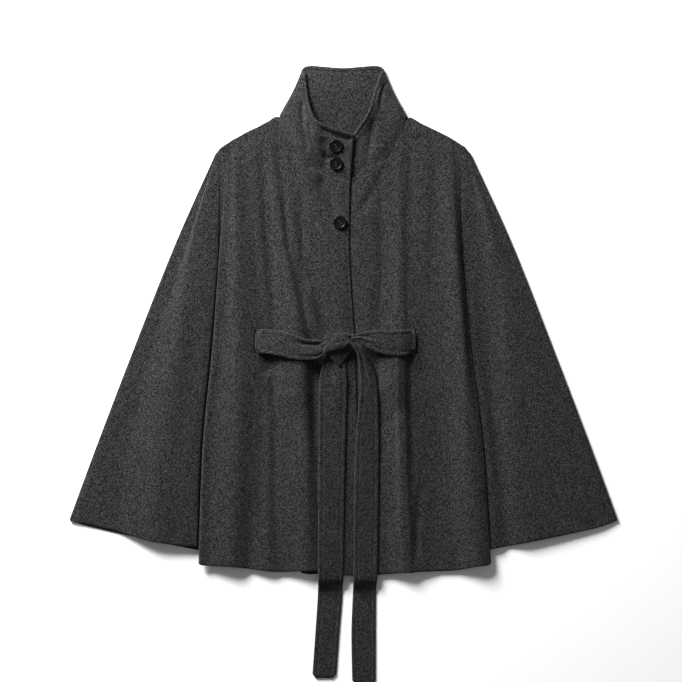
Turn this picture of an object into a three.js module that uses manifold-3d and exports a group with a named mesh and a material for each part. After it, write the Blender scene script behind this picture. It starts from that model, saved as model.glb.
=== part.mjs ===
// A belted wool cape coat, laid out flat with its front up.
// Millimetres. X runs across the coat, Y from the hem to the collar, and Z up from the surface it lies on.
// The origin is under the middle of the whole coat, belt ends included, on that surface.
import * as THREE from "three";
import { mergeVertices } from "three/addons/utils/BufferGeometryUtils.js";
import Module from "manifold-3d";

const wasm = await Module();
wasm.setup();

// Cloth and seams
const CLOTH = 2;
const COLLAR_THICKNESS = 4.4;
const BELT_THICKNESS = 3.2;
const BELT_WIDTH = 39;
const SEAM_GAP = 0.9;

// Heights on the coat, along Y, at which a fold's place is tabled
const CHEST_Y = 229;
const WAIST_Y = 50;
const SKIRT_Y = -128;

// How finely the cloth is divided
const FRONT_ROWS = 24;
const COLLAR_ROWS = 6;

// The slits that the belt passes through
const SLIT = { width: 5.4, height: 43, rightX: -147.5, leftX: 122.5, y: 58.6, reach: 60 };

// Buttons
const BUTTON = { radius: 11.4, thickness: 3.4, dish: 0.9, rim: 1.8, holeRadius: 1.1, holeSpacing: 4.4, sides: 24 };

const CLOTH_LOOK = { color: 0x3a3a3a, roughness: 0.95, metalness: 0 };
const BUTTON_LOOK = { color: 0x0a0a0a, roughness: 0.3, metalness: 0 };

// A monotone cubic through (knots, values), flat where the values turn.
function smooth(knots, values) {
  const last = knots.length - 1;
  const step = knots.slice(1).map((k, i) => k - knots[i]);
  const slope = step.map((h, i) => (values[i + 1] - values[i]) / h);
  const tangent = knots.map((_, i) => {
    if (i === 0) return slope[0];
    if (i === last) return slope[last - 1];
    const [before, after] = [slope[i - 1], slope[i]];
    return before * after <= 0 ? 0 : (2 * before * after) / (before + after);
  });
  return (at) => {
    let i = 0;
    while (i < last - 1 && at > knots[i + 1]) i++;
    const t = Math.min(1, Math.max(0, (at - knots[i]) / step[i]));
    const [t2, t3] = [t * t, t * t * t];
    return (
      values[i] * (2 * t3 - 3 * t2 + 1) +
      values[i + 1] * (3 * t2 - 2 * t3) +
      step[i] * (tangent[i] * (t3 - 2 * t2 + t) + tangent[i + 1] * (t3 - t2))
    );
  };
}

// A table's rows as objects, one for each guide line, in the order across the coat.
function readTable(columns, rows) {
  return Object.entries(rows).map(([name, values]) => ({
    name,
    ...Object.fromEntries(columns.map((column, i) => [column, values[i]])),
  }));
}

// Each row is the line of one ridge, valley or edge from the shoulder or neck to the hem: where it is
// at five heights, how high its cloth stands there, and how many strips lie between it and the next line.
const GUIDE_COLUMNS = [
  "topX", "topY", "chestX", "waistX", "skirtX", "hemX", "hemY",
  "topZ", "chestZ", "waistZ", "skirtZ", "hemZ", "cuts",
];

const RIGHT_WING = {
  wing_edge: [-216, 377, -282, -353, -421, -464, -245, 3.4, 3.4, 3.4, 3.4, 3.4, 1],
  wing_rim: [-213, 380, -270, -337, -400, -440, -254, 3.8, 5, 5, 5, 4.5, 2],
  wing_crown: [-211, 383, -257, -284, -297, -325, -281, 4.5, 9, 12, 11, 8, 2],
  wing_valley: [-208, 386, -229, -250, -267, -281, -290, 5, 6, 5, 4.7, 4.5, 1],
};

const RIGHT_BODY = {
  side_crown: [-184, 402, -192, -199, -202, -209, -322.5, 6, 17.5, 19, 19, 18, 2],
  side_valley: [-173, 408, -170, -173, -158, -173, -326.5, 6, 11, 15, 10, 8, 2],
  slit_ridge: [-158, 416, -146, -156, -128, -138, -330.5, 6, 14, 16, 13, 11.5, 2],
  slit_valley: [-143, 423, -129, -126, -115, -109, -331.5, 6, 9.5, 8, 9, 7, 3],
  long_ridge: [-128, 431, -110, -92, -78, -78, -329.5, 6.5, 16.5, 24, 21, 17, 3],
  long_valley: [-112, 440, -95, -61, -54, -43, -330, 6.5, 10.5, 9, 8, 7, 1],
  neck_ridge: [-102, 424, -82, -49, -42, -31, -336.5, 8, 13, 10, 9, 8, 2],
  neck_valley: [-88, 392, -66, -39, -31, -20, -336.5, 9, 11.5, 10, 9.2, 8.5, 2],
  breast_ridge: [-65, 363, -42, -22, -17, -8, -336.5, 10, 15, 11.5, 10, 9, 2],
  facing_fold: [-29, 341, -12, 0, 3, 8, -337.5, 11, 14, 12, 10.5, 9.5, 2],
  front_edge: [13, 329, 18, 22, 24, 24, -337.5, 11.5, 11.5, 11.5, 10.5, 9.5, 0],
};

const LEFT_BODY = {
  underlap_edge: [-25, 327, -25, -22, -22, -22, -335.5, 7, 7, 7, 6.5, 6, 1],
  underlap_middle: [0, 327, 5, 10, 10, 10, -336.5, 7, 7, 7, 6.5, 6, 1],
  front_line: [22, 339, 25, 29, 31, 31, -337.5, 7.6, 8, 7.6, 7, 6.4, 2],
  neck_ridge: [41, 353, 39, 41, 39, 41, -337.5, 10, 14, 9.6, 9, 8, 2],
  neck_valley: [70, 368, 63, 58, 58, 58, -335.5, 10, 9.5, 8.4, 8, 7, 3],
  long_ridge: [93, 399, 85, 82, 87, 93, -332.5, 9, 16, 24, 21, 17, 1],
  long_shoulder: [104, 426, 94, 96, 100, 110, -332.5, 7.6, 14.5, 22, 18.5, 14, 2],
  long_valley: [114, 438, 107, 109, 111, 128, -331.5, 7, 8.5, 8, 7, 6.5, 2],
  slit_ridge: [133, 428, 127, 126, 128, 143, -330.5, 6.5, 13, 16, 10.5, 9.5, 2],
  side_valley: [160, 415, 150, 148, 153, 160, -329.5, 6, 11, 12, 8, 7, 2],
  side_crown: [180, 405, 177, 190, 204, 212, -322.5, 6, 17.5, 19, 19, 18, 2],
};

const LEFT_WING = {
  wing_valley: [208, 386, 229, 245, 257, 272, -291, 5, 6, 5, 4.7, 4.5, 2],
  wing_crown: [211, 383, 248, 274, 287, 308, -285, 4.5, 9, 11, 10.5, 8, 2],
  wing_rim: [213, 380, 268, 331, 393, 432, -257, 3.8, 5, 4.8, 4.6, 4.4, 1],
  wing_edge: [216.5, 377, 284, 354.5, 422.5, 465.5, -245, 3.4, 3.4, 3.4, 3.4, 3.4, 0],
};

// Where the body's front is folded back over the wing: the lip that shows and the turn that it hides.
const PLEAT_COLUMNS = ["topX", "topY", "chestX", "waistX", "skirtX", "hemX", "hemY"];
const RIGHT_PLEAT = {
  turn: [-207, 387, -205, -197, -196, -194, -310],
  lip: [-191, 398, -214, -227, -243, -248, -319.5],
};
const LEFT_PLEAT = {
  lip: [190, 399, 200, 215, 236, 248, -319.5],
  turn: [207, 388, 191, 184, 189, 194, -310],
};
const PLEAT = { lowest: 4.6, radius: 2.3, bend: 3, chestBend: 1.2, topZ: 5 };

// The six lines round a pleat's turn and its lip. side is -1 where the lip points to -X.
function pleatGuides(pleat, side) {
  const { turn, lip } = Object.fromEntries(readTable(PLEAT_COLUMNS, pleat).map((row) => [row.name, row]));
  const around = [
    { on: turn, part: 0, inward: 1, level: 0 },
    { on: turn, part: 1 / 5, inward: 0, level: 1 },
    { on: turn, part: 2 / 5, inward: 1, level: 2 },
    { on: lip, part: 3 / 5, inward: -1, level: 2 },
    { on: lip, part: 4 / 5, inward: 0, level: 3 },
    { on: lip, part: 1, inward: -1, level: 4 },
  ];
  const guides = around.map(({ on, part, inward, level }) => {
    const shift = side * inward * PLEAT.bend;
    const high = PLEAT.lowest + level * PLEAT.radius;
    return {
      name: on.name,
      topX: THREE.MathUtils.lerp(turn.topX, lip.topX, part),
      topY: THREE.MathUtils.lerp(turn.topY, lip.topY, part),
      chestX: on.chestX + side * inward * PLEAT.chestBend,
      waistX: on.waistX + shift,
      skirtX: on.skirtX + shift,
      hemX: on.hemX + shift,
      hemY: THREE.MathUtils.lerp(turn.hemY, lip.hemY, level / 4),
      topZ: PLEAT.topZ,
      chestZ: high,
      waistZ: high,
      skirtZ: high,
      hemZ: high,
      cuts: 1,
    };
  });
  guides[5].cuts = side < 0 ? 2 : 1;
  return side < 0 ? guides : guides.reverse();
}

// A guide line's point at a share of the way from its top to its hem.
function guidePoint(guide, share) {
  const y = THREE.MathUtils.lerp(guide.topY, guide.hemY, share);
  const heights = [guide.hemY, SKIRT_Y, WAIST_Y, CHEST_Y, guide.topY];
  const across = smooth(heights, [guide.hemX, guide.skirtX, guide.waistX, guide.chestX, guide.topX]);
  const up = smooth(heights, [guide.hemZ, guide.skirtZ, guide.waistZ, guide.chestZ, guide.topZ]);
  return new THREE.Vector3(across(y), y, up(y));
}

// Points along a smooth line through some points, cuts[i] steps from point i to the next.
function lineThrough(points, cuts) {
  const knots = points.map((_, i) => i);
  const [x, y, z] = ["x", "y", "z"].map((axis) => smooth(knots, points.map((p) => p[axis])));
  const line = [];
  for (let i = 0; i < points.length - 1; i++) {
    for (let k = 0; k < cuts[i]; k++) {
      const at = i + k / cuts[i];
      line.push(new THREE.Vector3(x(at), y(at), z(at)));
    }
  }
  line.push(points[points.length - 1].clone());
  return line;
}

// The middle surface of a front: rows from the shoulder to the hem, each across all its guide lines.
function frontSurface(guides) {
  const cuts = guides.map((guide) => guide.cuts);
  const rows = [];
  for (let r = 0; r <= FRONT_ROWS; r++) {
    const share = r / FRONT_ROWS;
    rows.push(lineThrough(guides.map((guide) => guidePoint(guide, share)), cuts));
  }
  return rows;
}

// The direction of a line of points at one of them, from its neighbours on both sides.
function directionAt(previous, here, next) {
  const direction = new THREE.Vector3();
  if (previous) direction.add(here.clone().sub(previous).normalize());
  if (next) direction.add(next.clone().sub(here).normalize());
  return direction.normalize();
}

// A closed wall of a given thickness round a middle surface of rows of points.
function wallAround(rows, thickness) {
  const [high, wide] = [rows.length, rows[0].length];
  const positions = [];
  for (const side of [0.5, -0.5]) {
    for (let r = 0; r < high; r++) {
      for (let c = 0; c < wide; c++) {
        const here = rows[r][c];
        const along = directionAt(rows[r][c - 1], here, rows[r][c + 1]);
        const down = directionAt(rows[r - 1]?.[c], here, rows[r + 1]?.[c]);
        const normal = down.cross(along).normalize();
        const point = here.clone().addScaledVector(normal, side * thickness);
        positions.push(point.x, point.y, point.z);
      }
    }
  }
  const upper = (r, c) => r * wide + c;
  const lower = (r, c) => high * wide + r * wide + c;
  const index = [];
  const quad = (a, b, c, d) => index.push(a, b, c, a, c, d);
  for (let r = 0; r < high - 1; r++) {
    for (let c = 0; c < wide - 1; c++) {
      quad(upper(r, c), upper(r + 1, c), upper(r + 1, c + 1), upper(r, c + 1));
      quad(lower(r, c), lower(r, c + 1), lower(r + 1, c + 1), lower(r + 1, c));
    }
  }
  for (let c = 0; c < wide - 1; c++) {
    quad(upper(0, c), upper(0, c + 1), lower(0, c + 1), lower(0, c));
    quad(upper(high - 1, c + 1), upper(high - 1, c), lower(high - 1, c), lower(high - 1, c + 1));
  }
  for (let r = 0; r < high - 1; r++) {
    quad(upper(r + 1, 0), upper(r, 0), lower(r, 0), lower(r + 1, 0));
    quad(upper(r, wide - 1), upper(r + 1, wide - 1), lower(r + 1, wide - 1), lower(r, wide - 1));
  }
  const geometry = new THREE.BufferGeometry();
  geometry.setAttribute("position", new THREE.Float32BufferAttribute(positions, 3));
  geometry.setIndex(index);
  return geometry;
}

// A geometry as a manifold-3d solid, and back.
function toSolid(geometry) {
  const bare = geometry.index ? geometry.toNonIndexed() : geometry.clone();
  for (const name of ["normal", "uv"]) bare.deleteAttribute(name);
  const merged = mergeVertices(bare, 1e-3);
  const mesh = new wasm.Mesh({
    numProp: 3,
    vertProperties: merged.attributes.position.array,
    triVerts: new Uint32Array(merged.index.array),
  });
  return new wasm.Manifold(mesh);
}

function toGeometry(solid) {
  const mesh = solid.getMesh();
  const geometry = new THREE.BufferGeometry();
  geometry.setAttribute("position", new THREE.Float32BufferAttribute(mesh.vertProperties, 3));
  geometry.setIndex(new THREE.BufferAttribute(mesh.triVerts, 1));
  return geometry;
}

// A front with its belt slit cut through.
function frontPanel(surface, slitX) {
  const knife = new THREE.BoxGeometry(SLIT.width, SLIT.height, SLIT.reach);
  knife.translate(slitX, SLIT.y, SLIT.reach / 2);
  return toGeometry(toSolid(wallAround(surface, CLOTH)).subtract(toSolid(knife)));
}

// The back lies flat under the fronts. One side of its outline, from the neck down to the hem, is
// mirrored for the other side. Its hem differs from side to side, and one lobe of it shows.
const BACK_COLUMNS = ["x", "y"];
const BACK_SIDE = {
  neck_middle: [0, 396],
  neck_quarter: [48, 402.5],
  neck_side: [90, 425],
  neck_point: [107, 441],
  shoulder: [167, 411],
  shoulder_end: [206, 387],
  upper_arm: [219, 372],
  arm: [282, 229],
  fore_arm: [353, 50],
  cuff: [421, -128],
  wing_tip: [463.7, -245.5],
  wing_hem: [440, -253.5],
  wing_hem_middle: [325, -280.5],
  wing_hem_end: [250, -295],
};
const BACK_HEM = {
  left_side: [170, -314],
  left_body: [80, -327],
  middle: [0, -333],
  lobe_end: [-36, -336],
  lobe_low: [-58, -337],
  lobe_start: [-69, -335],
  right_body: [-82, -326],
  right_side: [-170, -314],
};

function backPanel() {
  const toPoint = ({ x, y }) => new THREE.Vector2(x, y);
  const side = readTable(BACK_COLUMNS, BACK_SIDE);
  const left = side.map(toPoint);
  const right = side.slice(1).map(({ x, y }) => new THREE.Vector2(-x, y));
  const hem = readTable(BACK_COLUMNS, BACK_HEM).map(toPoint);
  const outline = new THREE.Shape([...left, ...hem, ...right.reverse()]);
  return new THREE.ExtrudeGeometry(outline, { depth: CLOTH, bevelEnabled: false });
}

// The stand collar is one band. It runs from its lapped end, round the back of the neck, to its
// under end. Each row is a place along it: its top edge, how far it bows in halfway up, and its
// height at the base, a third and two thirds of the way up, and at the top. Its base follows the
// necks of the fronts and the back.
const COLLAR_COLUMNS = ["baseX", "baseY", "topX", "topY", "bow", "baseZ", "lowZ", "highZ", "topZ", "cuts"];
const COLLAR_RIGHT = {
  front_edge: [13, 329, 18, 409, 0, 12.4, 14.2, 17, 21, 2],
  facing_fold: [-29, 341, -5, 415, 0, 12, 14.4, 16.5, 24, 2],
  breast_ridge: [-65, 363, -32, 426, 0, 10.5, 14, 14, 24, 2],
  neck_valley: [-88, 392, -49, 461, 1, 9.5, 14, 15, 20, 2],
  neck_ridge: [-102, 424, -58, 488, 1.5, 9.4, 11.5, 13, 14, 2],
};
const COLLAR_BACK = {
  right_front_turn: [-105.3, 438.4, -64.5, 513, 3, 9.4, 9.8, 9.8, 9.6, 1],
  right_side: [-107, 442, -67.8, 518.5, 3, 5.8, 6, 6, 5.9, 1],
  right_back_turn: [-104.6, 439.4, -64.5, 523.5, 3, 2.2, 2.2, 2.2, 2.2, 1],
  right_back: [-92, 427.5, -53, 525.5, 1.5, 2.2, 2.2, 2.2, 2.2, 1],
  right_quarter: [-49, 404, -29, 523.5, 0, 2.2, 2.2, 2.2, 2.2, 1],
  middle: [0, 397, 0, 521.5, 0, 2.2, 2.2, 2.2, 2.2, 1],
  left_quarter: [49, 404, 29, 523.5, 0, 2.2, 2.2, 2.2, 2.2, 1],
  left_back: [92, 427.5, 53, 525.5, -1.5, 2.2, 2.2, 2.2, 2.2, 1],
  left_back_turn: [104.6, 439.4, 64.5, 523.5, -3, 2.2, 2.2, 2.2, 2.2, 1],
  left_side: [107, 442, 67.8, 518.5, -3, 5.8, 6, 6, 5.9, 1],
  left_front_turn: [105.3, 438.4, 64.5, 513, -3, 9.4, 9.8, 9.8, 9.6, 1],
};
const COLLAR_LEFT = {
  long_shoulder: [103.5, 427, 60, 500, -1.5, 9.4, 11, 12, 12, 1],
  long_ridge: [93, 399, 55, 484, -1, 9.5, 12.5, 14.5, 16, 3],
  neck_valley: [70, 368, 44, 448, 0, 10.5, 12, 14, 17, 2],
  neck_ridge: [41, 353, 29, 424, 0, 10.5, 11.5, 13, 15, 2],
  front_line: [22, 339, 14, 404, 0, 7.2, 8.2, 9.6, 11.5, 1],
  underlap_middle: [0, 327, 1, 394, 0, 6.2, 7.4, 8.8, 10.5, 1],
  underlap_edge: [-25, 327, -22, 389, 0, 6.2, 7.4, 8.8, 10.5, 0],
};

function collarSurface() {
  const places = [COLLAR_RIGHT, COLLAR_BACK, COLLAR_LEFT].flatMap((part) => readTable(COLLAR_COLUMNS, part));
  const cuts = places.map((place) => place.cuts);
  const rows = [];
  for (let r = 0; r <= COLLAR_ROWS; r++) {
    const share = 1 - r / COLLAR_ROWS;
    const points = places.map((place) => {
      const base = new THREE.Vector2(place.baseX, place.baseY);
      const top = new THREE.Vector2(place.topX, place.topY);
      const rise = top.clone().sub(base);
      base.addScaledVector(rise.clone().normalize(), SEAM_GAP + CLOTH / 2);
      const at = base.lerp(top, share);
      const bowed = at.x + place.bow * Math.sin(Math.PI * share);
      const up = smooth([0, 1 / 3, 2 / 3, 1], [place.baseZ, place.lowZ, place.highZ, place.topZ]);
      return new THREE.Vector3(bowed, at.y, up(share));
    });
    rows.push(lineThrough(points, cuts));
  }
  return rows;
}

// The belt, from the knot out to the right slit, through it, behind the fronts across the back,
// out of the left slit and in to the knot again.
const BELT_COLUMNS = ["x", "topY", "bottomY", "z", "cuts"];
const BELT_PATH = {
  right_knot_end: [-35, 60, 35, 25.5, 1],
  right_pinch: [-45, 60, 29.5, 26, 1],
  right_dip: [-64, 62, 28, 27, 1],
  right_ridge_in: [-85, 69, 30, 27.4, 1],
  right_ridge_out: [-102, 74, 34, 26.6, 1],
  right_slope: [-128, 78, 39, 22, 1],
  right_slit_top: [-142.5, 78.5, 39.5, 20, 1],
  right_slit_lip: [-147.5, 78.5, 39.5, 16.5, 1],
  right_slit_foot: [-147.5, 78.5, 39.5, 7.6, 1],
  right_under: [-142.5, 78.5, 39.5, 4, 1],
  back_middle: [-12, 78.5, 39.5, 4, 1],
  left_under: [117.5, 78.5, 39.5, 4, 1],
  left_slit_foot: [122.5, 78.5, 39.5, 7.6, 1],
  left_slit_lip: [122.5, 78.5, 39.5, 16.5, 1],
  left_slit_top: [117.5, 78, 37, 20.5, 1],
  left_ridge_out: [97, 77, 34, 26.2, 1],
  left_ridge_in: [80, 76, 36, 27.4, 1],
  left_dip: [60, 77, 41, 27, 1],
  left_waist: [42, 75, 49, 27, 1],
  left_pinch: [26, 71.5, 59, 26.5, 1],
  left_knot_end: [15, 68, 59, 25.5, 0],
};
const BELT_ROWS = 4;

// A strip of cloth whose two edges are tabled, as rows from its upper to its lower edge.
function stripSurface(table) {
  const places = readTable(BELT_COLUMNS, table);
  const cuts = places.map((place) => place.cuts);
  const rows = [];
  for (let r = 0; r <= BELT_ROWS; r++) {
    const points = places.map(
      ({ x, topY, bottomY, z }) => new THREE.Vector3(x, THREE.MathUtils.lerp(topY, bottomY, r / BELT_ROWS), z),
    );
    rows.push(lineThrough(points, cuts));
  }
  return rows;
}

// The two ends of the belt hang from the knot, lie on the fronts and drop over the hem to the surface.
const TAIL_COLUMNS = ["y", "leftX", "rightX", "z", "cuts"];
const RIGHT_TAIL = {
  knot: [39, -25, 0, 16.8, 1],
  below_knot: [16, -35, 3, 15.8, 1],
  front: [-20, -40, 3, 15, 2],
  skirt: [-128, -40, 1, 14, 2],
  above_hem: [-300, -41, -1, 13.6, 1],
  hem: [-341, -41, -1, 12.6, 1],
  drop: [-356, -41, -2, 6, 1],
  floor: [-372, -41.5, -2.5, 1.6, 1],
  lower: [-440, -46, -8, 1.6, 1],
  end: [-512, -51, -13, 1.6, 0],
};
const LEFT_TAIL = {
  knot: [56, 14, 20, 29, 1],
  turn: [48, 20, 31, 28.5, 1],
  fall: [36, 25.5, 39, 25, 1],
  below_knot: [20, 28, 46, 20, 1],
  front: [-14, 30, 57, 15.6, 2],
  skirt: [-128, 22, 60, 13.4, 2],
  above_hem: [-300, 19, 58, 13, 1],
  hem: [-341, 19, 57, 12.8, 1],
  drop: [-356, 18.5, 55.5, 6, 1],
  floor: [-372, 18, 54.5, 1.6, 1],
  lower: [-440, 15.5, 54, 1.6, 1],
  end: [-523.5, 17, 54, 1.6, 0],
};
const TAIL_COLUMN_COUNT = 4;

function tailSurface(table) {
  const places = readTable(TAIL_COLUMNS, table);
  const cuts = places.map((place) => place.cuts);
  const columns = [];
  for (let c = 0; c <= TAIL_COLUMN_COUNT; c++) {
    const points = places.map(
      ({ y, leftX, rightX, z }) =>
        new THREE.Vector3(THREE.MathUtils.lerp(leftX, rightX, c / TAIL_COLUMN_COUNT), y, z),
    );
    columns.push(lineThrough(points, cuts));
  }
  return columns[0].map((_, r) => columns.map((column) => column[r]));
}

// The knot's hidden layers share one rounded body, which the layers' edges cross as a shallow step.
// The lower corner of the wrap hangs out below it.
const KNOT = { x: -10.5, y: 62, z: 25, halfX: 23.5, halfY: 19, halfZ: 7.5, squareness: 0.7, step: 0.05 };
const KNOT_FACETS = { around: 18, down: 11 };
const WRAP_CORNER = { z: 19, thickness: 4 };
const WRAP_CORNER_OUTLINE = {
  upper_right: [-28, 56],
  lower_right: [-29, 41],
  inner_right: [-19, 29],
  point: [-5, 17],
  inner_left: [3, 31],
  lower_left: [11, 41],
  upper_left: [7, 56],
};

function knotGeometry() {
  const sphere = new THREE.SphereGeometry(1, KNOT_FACETS.around, KNOT_FACETS.down);
  const position = sphere.attributes.position;
  const squared = (value) => Math.sign(value) * Math.abs(value) ** KNOT.squareness;
  for (let i = 0; i < position.count; i++) {
    const [x, y, z] = [position.getX(i), position.getY(i), position.getZ(i)];
    const layer = 1 + KNOT.step * Math.sin(3 * y + 2 * x);
    position.setXYZ(
      i,
      KNOT.x + KNOT.halfX * squared(x) * layer,
      KNOT.y + KNOT.halfY * squared(y) * layer,
      KNOT.z + KNOT.halfZ * squared(z) * layer,
    );
  }
  const corners = Object.values(WRAP_CORNER_OUTLINE).map(([x, y]) => new THREE.Vector2(x, y));
  const wrap = new THREE.ExtrudeGeometry(new THREE.Shape(corners), {
    depth: WRAP_CORNER.thickness,
    bevelEnabled: false,
  });
  wrap.translate(0, 0, WRAP_CORNER.z);
  return toGeometry(toSolid(sphere).add(toSolid(wrap)));
}

// Each button's middle, the height of its underside, and its lean towards the hem.
const BUTTON_COLUMNS = ["x", "y", "z", "lean"];
const BUTTONS = {
  button_top: [-9, 387, 19.9, 0.1],
  button_middle: [-9, 357, 16.7, 0.04],
  button_breast: [-4, 258, 15.6, 0],
};

function buttonGeometry() {
  const { radius, thickness, dish, rim, holeRadius, holeSpacing, sides } = BUTTON;
  const profile = [
    [0, 0],
    [radius - 1, 0],
    [radius, 1],
    [radius, thickness - 0.8],
    [radius - 0.8, thickness],
    [radius - rim, thickness],
    [radius - rim - 1.4, thickness - dish],
    [0, thickness - dish],
  ].map(([r, z]) => new THREE.Vector2(r, z));
  const disc = new THREE.LatheGeometry(profile, sides);
  disc.rotateX(Math.PI / 2);
  let solid = toSolid(disc);
  for (const [across, along] of [[1, 1], [1, -1], [-1, 1], [-1, -1]]) {
    const hole = new THREE.CylinderGeometry(holeRadius, holeRadius, thickness * 3, 8);
    hole.rotateX(Math.PI / 2);
    hole.translate((across * holeSpacing) / 2, (along * holeSpacing) / 2, 0);
    solid = solid.subtract(toSolid(hole));
  }
  return toGeometry(solid);
}

const coat = new THREE.Group();

function addPiece(name, geometry, look) {
  const mesh = new THREE.Mesh(geometry, new THREE.MeshStandardMaterial(look));
  mesh.name = name;
  coat.add(mesh);
  return mesh;
}

const rightGuides = [
  ...readTable(GUIDE_COLUMNS, RIGHT_WING),
  ...pleatGuides(RIGHT_PLEAT, -1),
  ...readTable(GUIDE_COLUMNS, RIGHT_BODY),
];
const leftGuides = [
  ...readTable(GUIDE_COLUMNS, LEFT_BODY),
  ...pleatGuides(LEFT_PLEAT, 1),
  ...readTable(GUIDE_COLUMNS, LEFT_WING),
];

addPiece("back", backPanel(), CLOTH_LOOK);
addPiece("front_right", frontPanel(frontSurface(rightGuides), SLIT.rightX), CLOTH_LOOK);
addPiece("front_left", frontPanel(frontSurface(leftGuides), SLIT.leftX), CLOTH_LOOK);
addPiece("collar", wallAround(collarSurface(), COLLAR_THICKNESS), CLOTH_LOOK);
addPiece("belt", wallAround(stripSurface(BELT_PATH), BELT_THICKNESS), CLOTH_LOOK);
addPiece("belt_knot", knotGeometry(), CLOTH_LOOK);
addPiece("belt_tail_right", wallAround(tailSurface(RIGHT_TAIL), BELT_THICKNESS), CLOTH_LOOK);
addPiece("belt_tail_left", wallAround(tailSurface(LEFT_TAIL), BELT_THICKNESS), CLOTH_LOOK);
for (const { name, x, y, z, lean } of readTable(BUTTON_COLUMNS, BUTTONS)) {
  const button = addPiece(name, buttonGeometry(), BUTTON_LOOK);
  button.position.set(x, y, z);
  button.rotation.x = lean;
}

export default coat;
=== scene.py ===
"""A belted wool cape coat laid out flat with its front up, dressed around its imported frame."""
import math
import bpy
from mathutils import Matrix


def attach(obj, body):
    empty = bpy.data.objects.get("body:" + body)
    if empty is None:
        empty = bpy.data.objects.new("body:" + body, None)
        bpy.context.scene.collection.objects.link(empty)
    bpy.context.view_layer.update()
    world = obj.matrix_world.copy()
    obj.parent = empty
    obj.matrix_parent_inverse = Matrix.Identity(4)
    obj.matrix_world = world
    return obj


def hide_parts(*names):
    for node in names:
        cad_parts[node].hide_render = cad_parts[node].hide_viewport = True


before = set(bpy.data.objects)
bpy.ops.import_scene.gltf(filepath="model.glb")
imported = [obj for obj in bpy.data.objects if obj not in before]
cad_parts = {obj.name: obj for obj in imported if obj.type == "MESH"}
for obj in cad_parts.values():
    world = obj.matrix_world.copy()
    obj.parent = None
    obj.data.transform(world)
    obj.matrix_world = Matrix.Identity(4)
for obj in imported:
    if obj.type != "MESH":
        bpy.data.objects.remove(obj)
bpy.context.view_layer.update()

from types import SimpleNamespace

import bmesh
import bpy
import numpy as np
from mathutils import Vector, noise

bl_info = {
    "name": "Wool Cape Coat",
    "version": (1, 0, 0),
    "blender": (4, 5, 0),
    "location": "View3D > Sidebar > Coat",
    "description": "Builds a wool cape coat with a stand collar, a tied belt and buttons",
    "category": "Object",
}

MM = 0.001

# The photograph's frame, and where its middle lies on the coat
VIEW_WIDTH_MM = 1159.4
VIEW_MIDDLE_MM = (-3.4, 59.5)
SENSOR_MM = 36.0

# Heights on the coat, along Y, at which a fold's place is tabled
CHEST_Y = 229
WAIST_Y = 50
SKIRT_Y = -128

# How finely the cloth is divided
FRONT_ROWS = 250
FRONT_FINENESS = 5
COLLAR_ROWS = 56
COLLAR_FINENESS = 7
STRIP_ROWS = 36
STRIP_FINENESS = 12

# The slits that the belt passes through. Beyond its ends a slit closes over a distance, and it moves a few
# columns of cloth on both its sides
SLIT = SimpleNamespace(
    width=5.4, height=43, right_x=-147.5, left_x=122.5, y=58.6, ease=26, closing=0.6, columns=9)


# Sizes and colours that a user would change

class CoatClothSettings(bpy.types.PropertyGroup):
    """Sizes and colours of the cloth."""
    cloth: bpy.props.FloatProperty(
        name="Cloth", description="Thickness of the wool", default=0.002, unit="LENGTH")
    collar: bpy.props.FloatProperty(
        name="Collar", description="Thickness of the doubled collar", default=0.0044, unit="LENGTH")
    belt: bpy.props.FloatProperty(
        name="Belt", description="Thickness of the doubled belt", default=0.0032, unit="LENGTH")
    crease: bpy.props.FloatProperty(
        name="Creases", description="Depth of the small creases", default=1.0, min=0.0, max=2.0)
    ripple: bpy.props.FloatProperty(
        name="Ripple", description="Height of the cloth's unevenness", default=0.0006, unit="LENGTH")
    dark_wool: bpy.props.FloatVectorProperty(
        name="Dark wool", description="Colour of the dark fibres", subtype="COLOR", size=3,
        default=(0.0015, 0.0015, 0.0016))
    light_wool: bpy.props.FloatVectorProperty(
        name="Light wool", description="Colour of the light fibres", subtype="COLOR", size=3,
        default=(0.0435, 0.0435, 0.0442))


class CoatTrimSettings(bpy.types.PropertyGroup):
    """Sizes and colours of the buttons and the sewing."""
    button_colour: bpy.props.FloatVectorProperty(
        name="Buttons", description="Colour of the buttons", subtype="COLOR", size=3,
        default=(0.0022, 0.0022, 0.0024))
    thread_colour: bpy.props.FloatVectorProperty(
        name="Thread", description="Colour of the sewing thread", subtype="COLOR", size=3,
        default=(0.022, 0.022, 0.023))
    thread: bpy.props.FloatProperty(
        name="Thread radius", description="Radius of the topstitch thread", default=0.00026, unit="LENGTH")
    stitch: bpy.props.FloatProperty(
        name="Stitch length", description="Length of one topstitch", default=0.0027, unit="LENGTH")
    pitch: bpy.props.FloatProperty(
        name="Stitch pitch", description="Distance between topstitches", default=0.0036, unit="LENGTH")


class CoatStageSettings(bpy.types.PropertyGroup):
    """The floor, the light and the camera."""
    floor_colour: bpy.props.FloatVectorProperty(
        name="Floor", description="Colour of the floor", subtype="COLOR", size=3, default=(0.9, 0.9, 0.9))
    camera_height: bpy.props.FloatProperty(
        name="Camera height", description="Height of the camera over the coat", default=4.0, unit="LENGTH")
    key_power: bpy.props.FloatProperty(
        name="Key light", description="Power of the light beyond the wearer's right shoulder",
        default=285.0, unit="POWER")
    sky: bpy.props.FloatProperty(
        name="Sky", description="Strength of the light from all round", default=0.2, min=0.0)


# Smooth lines and surfaces

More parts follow.
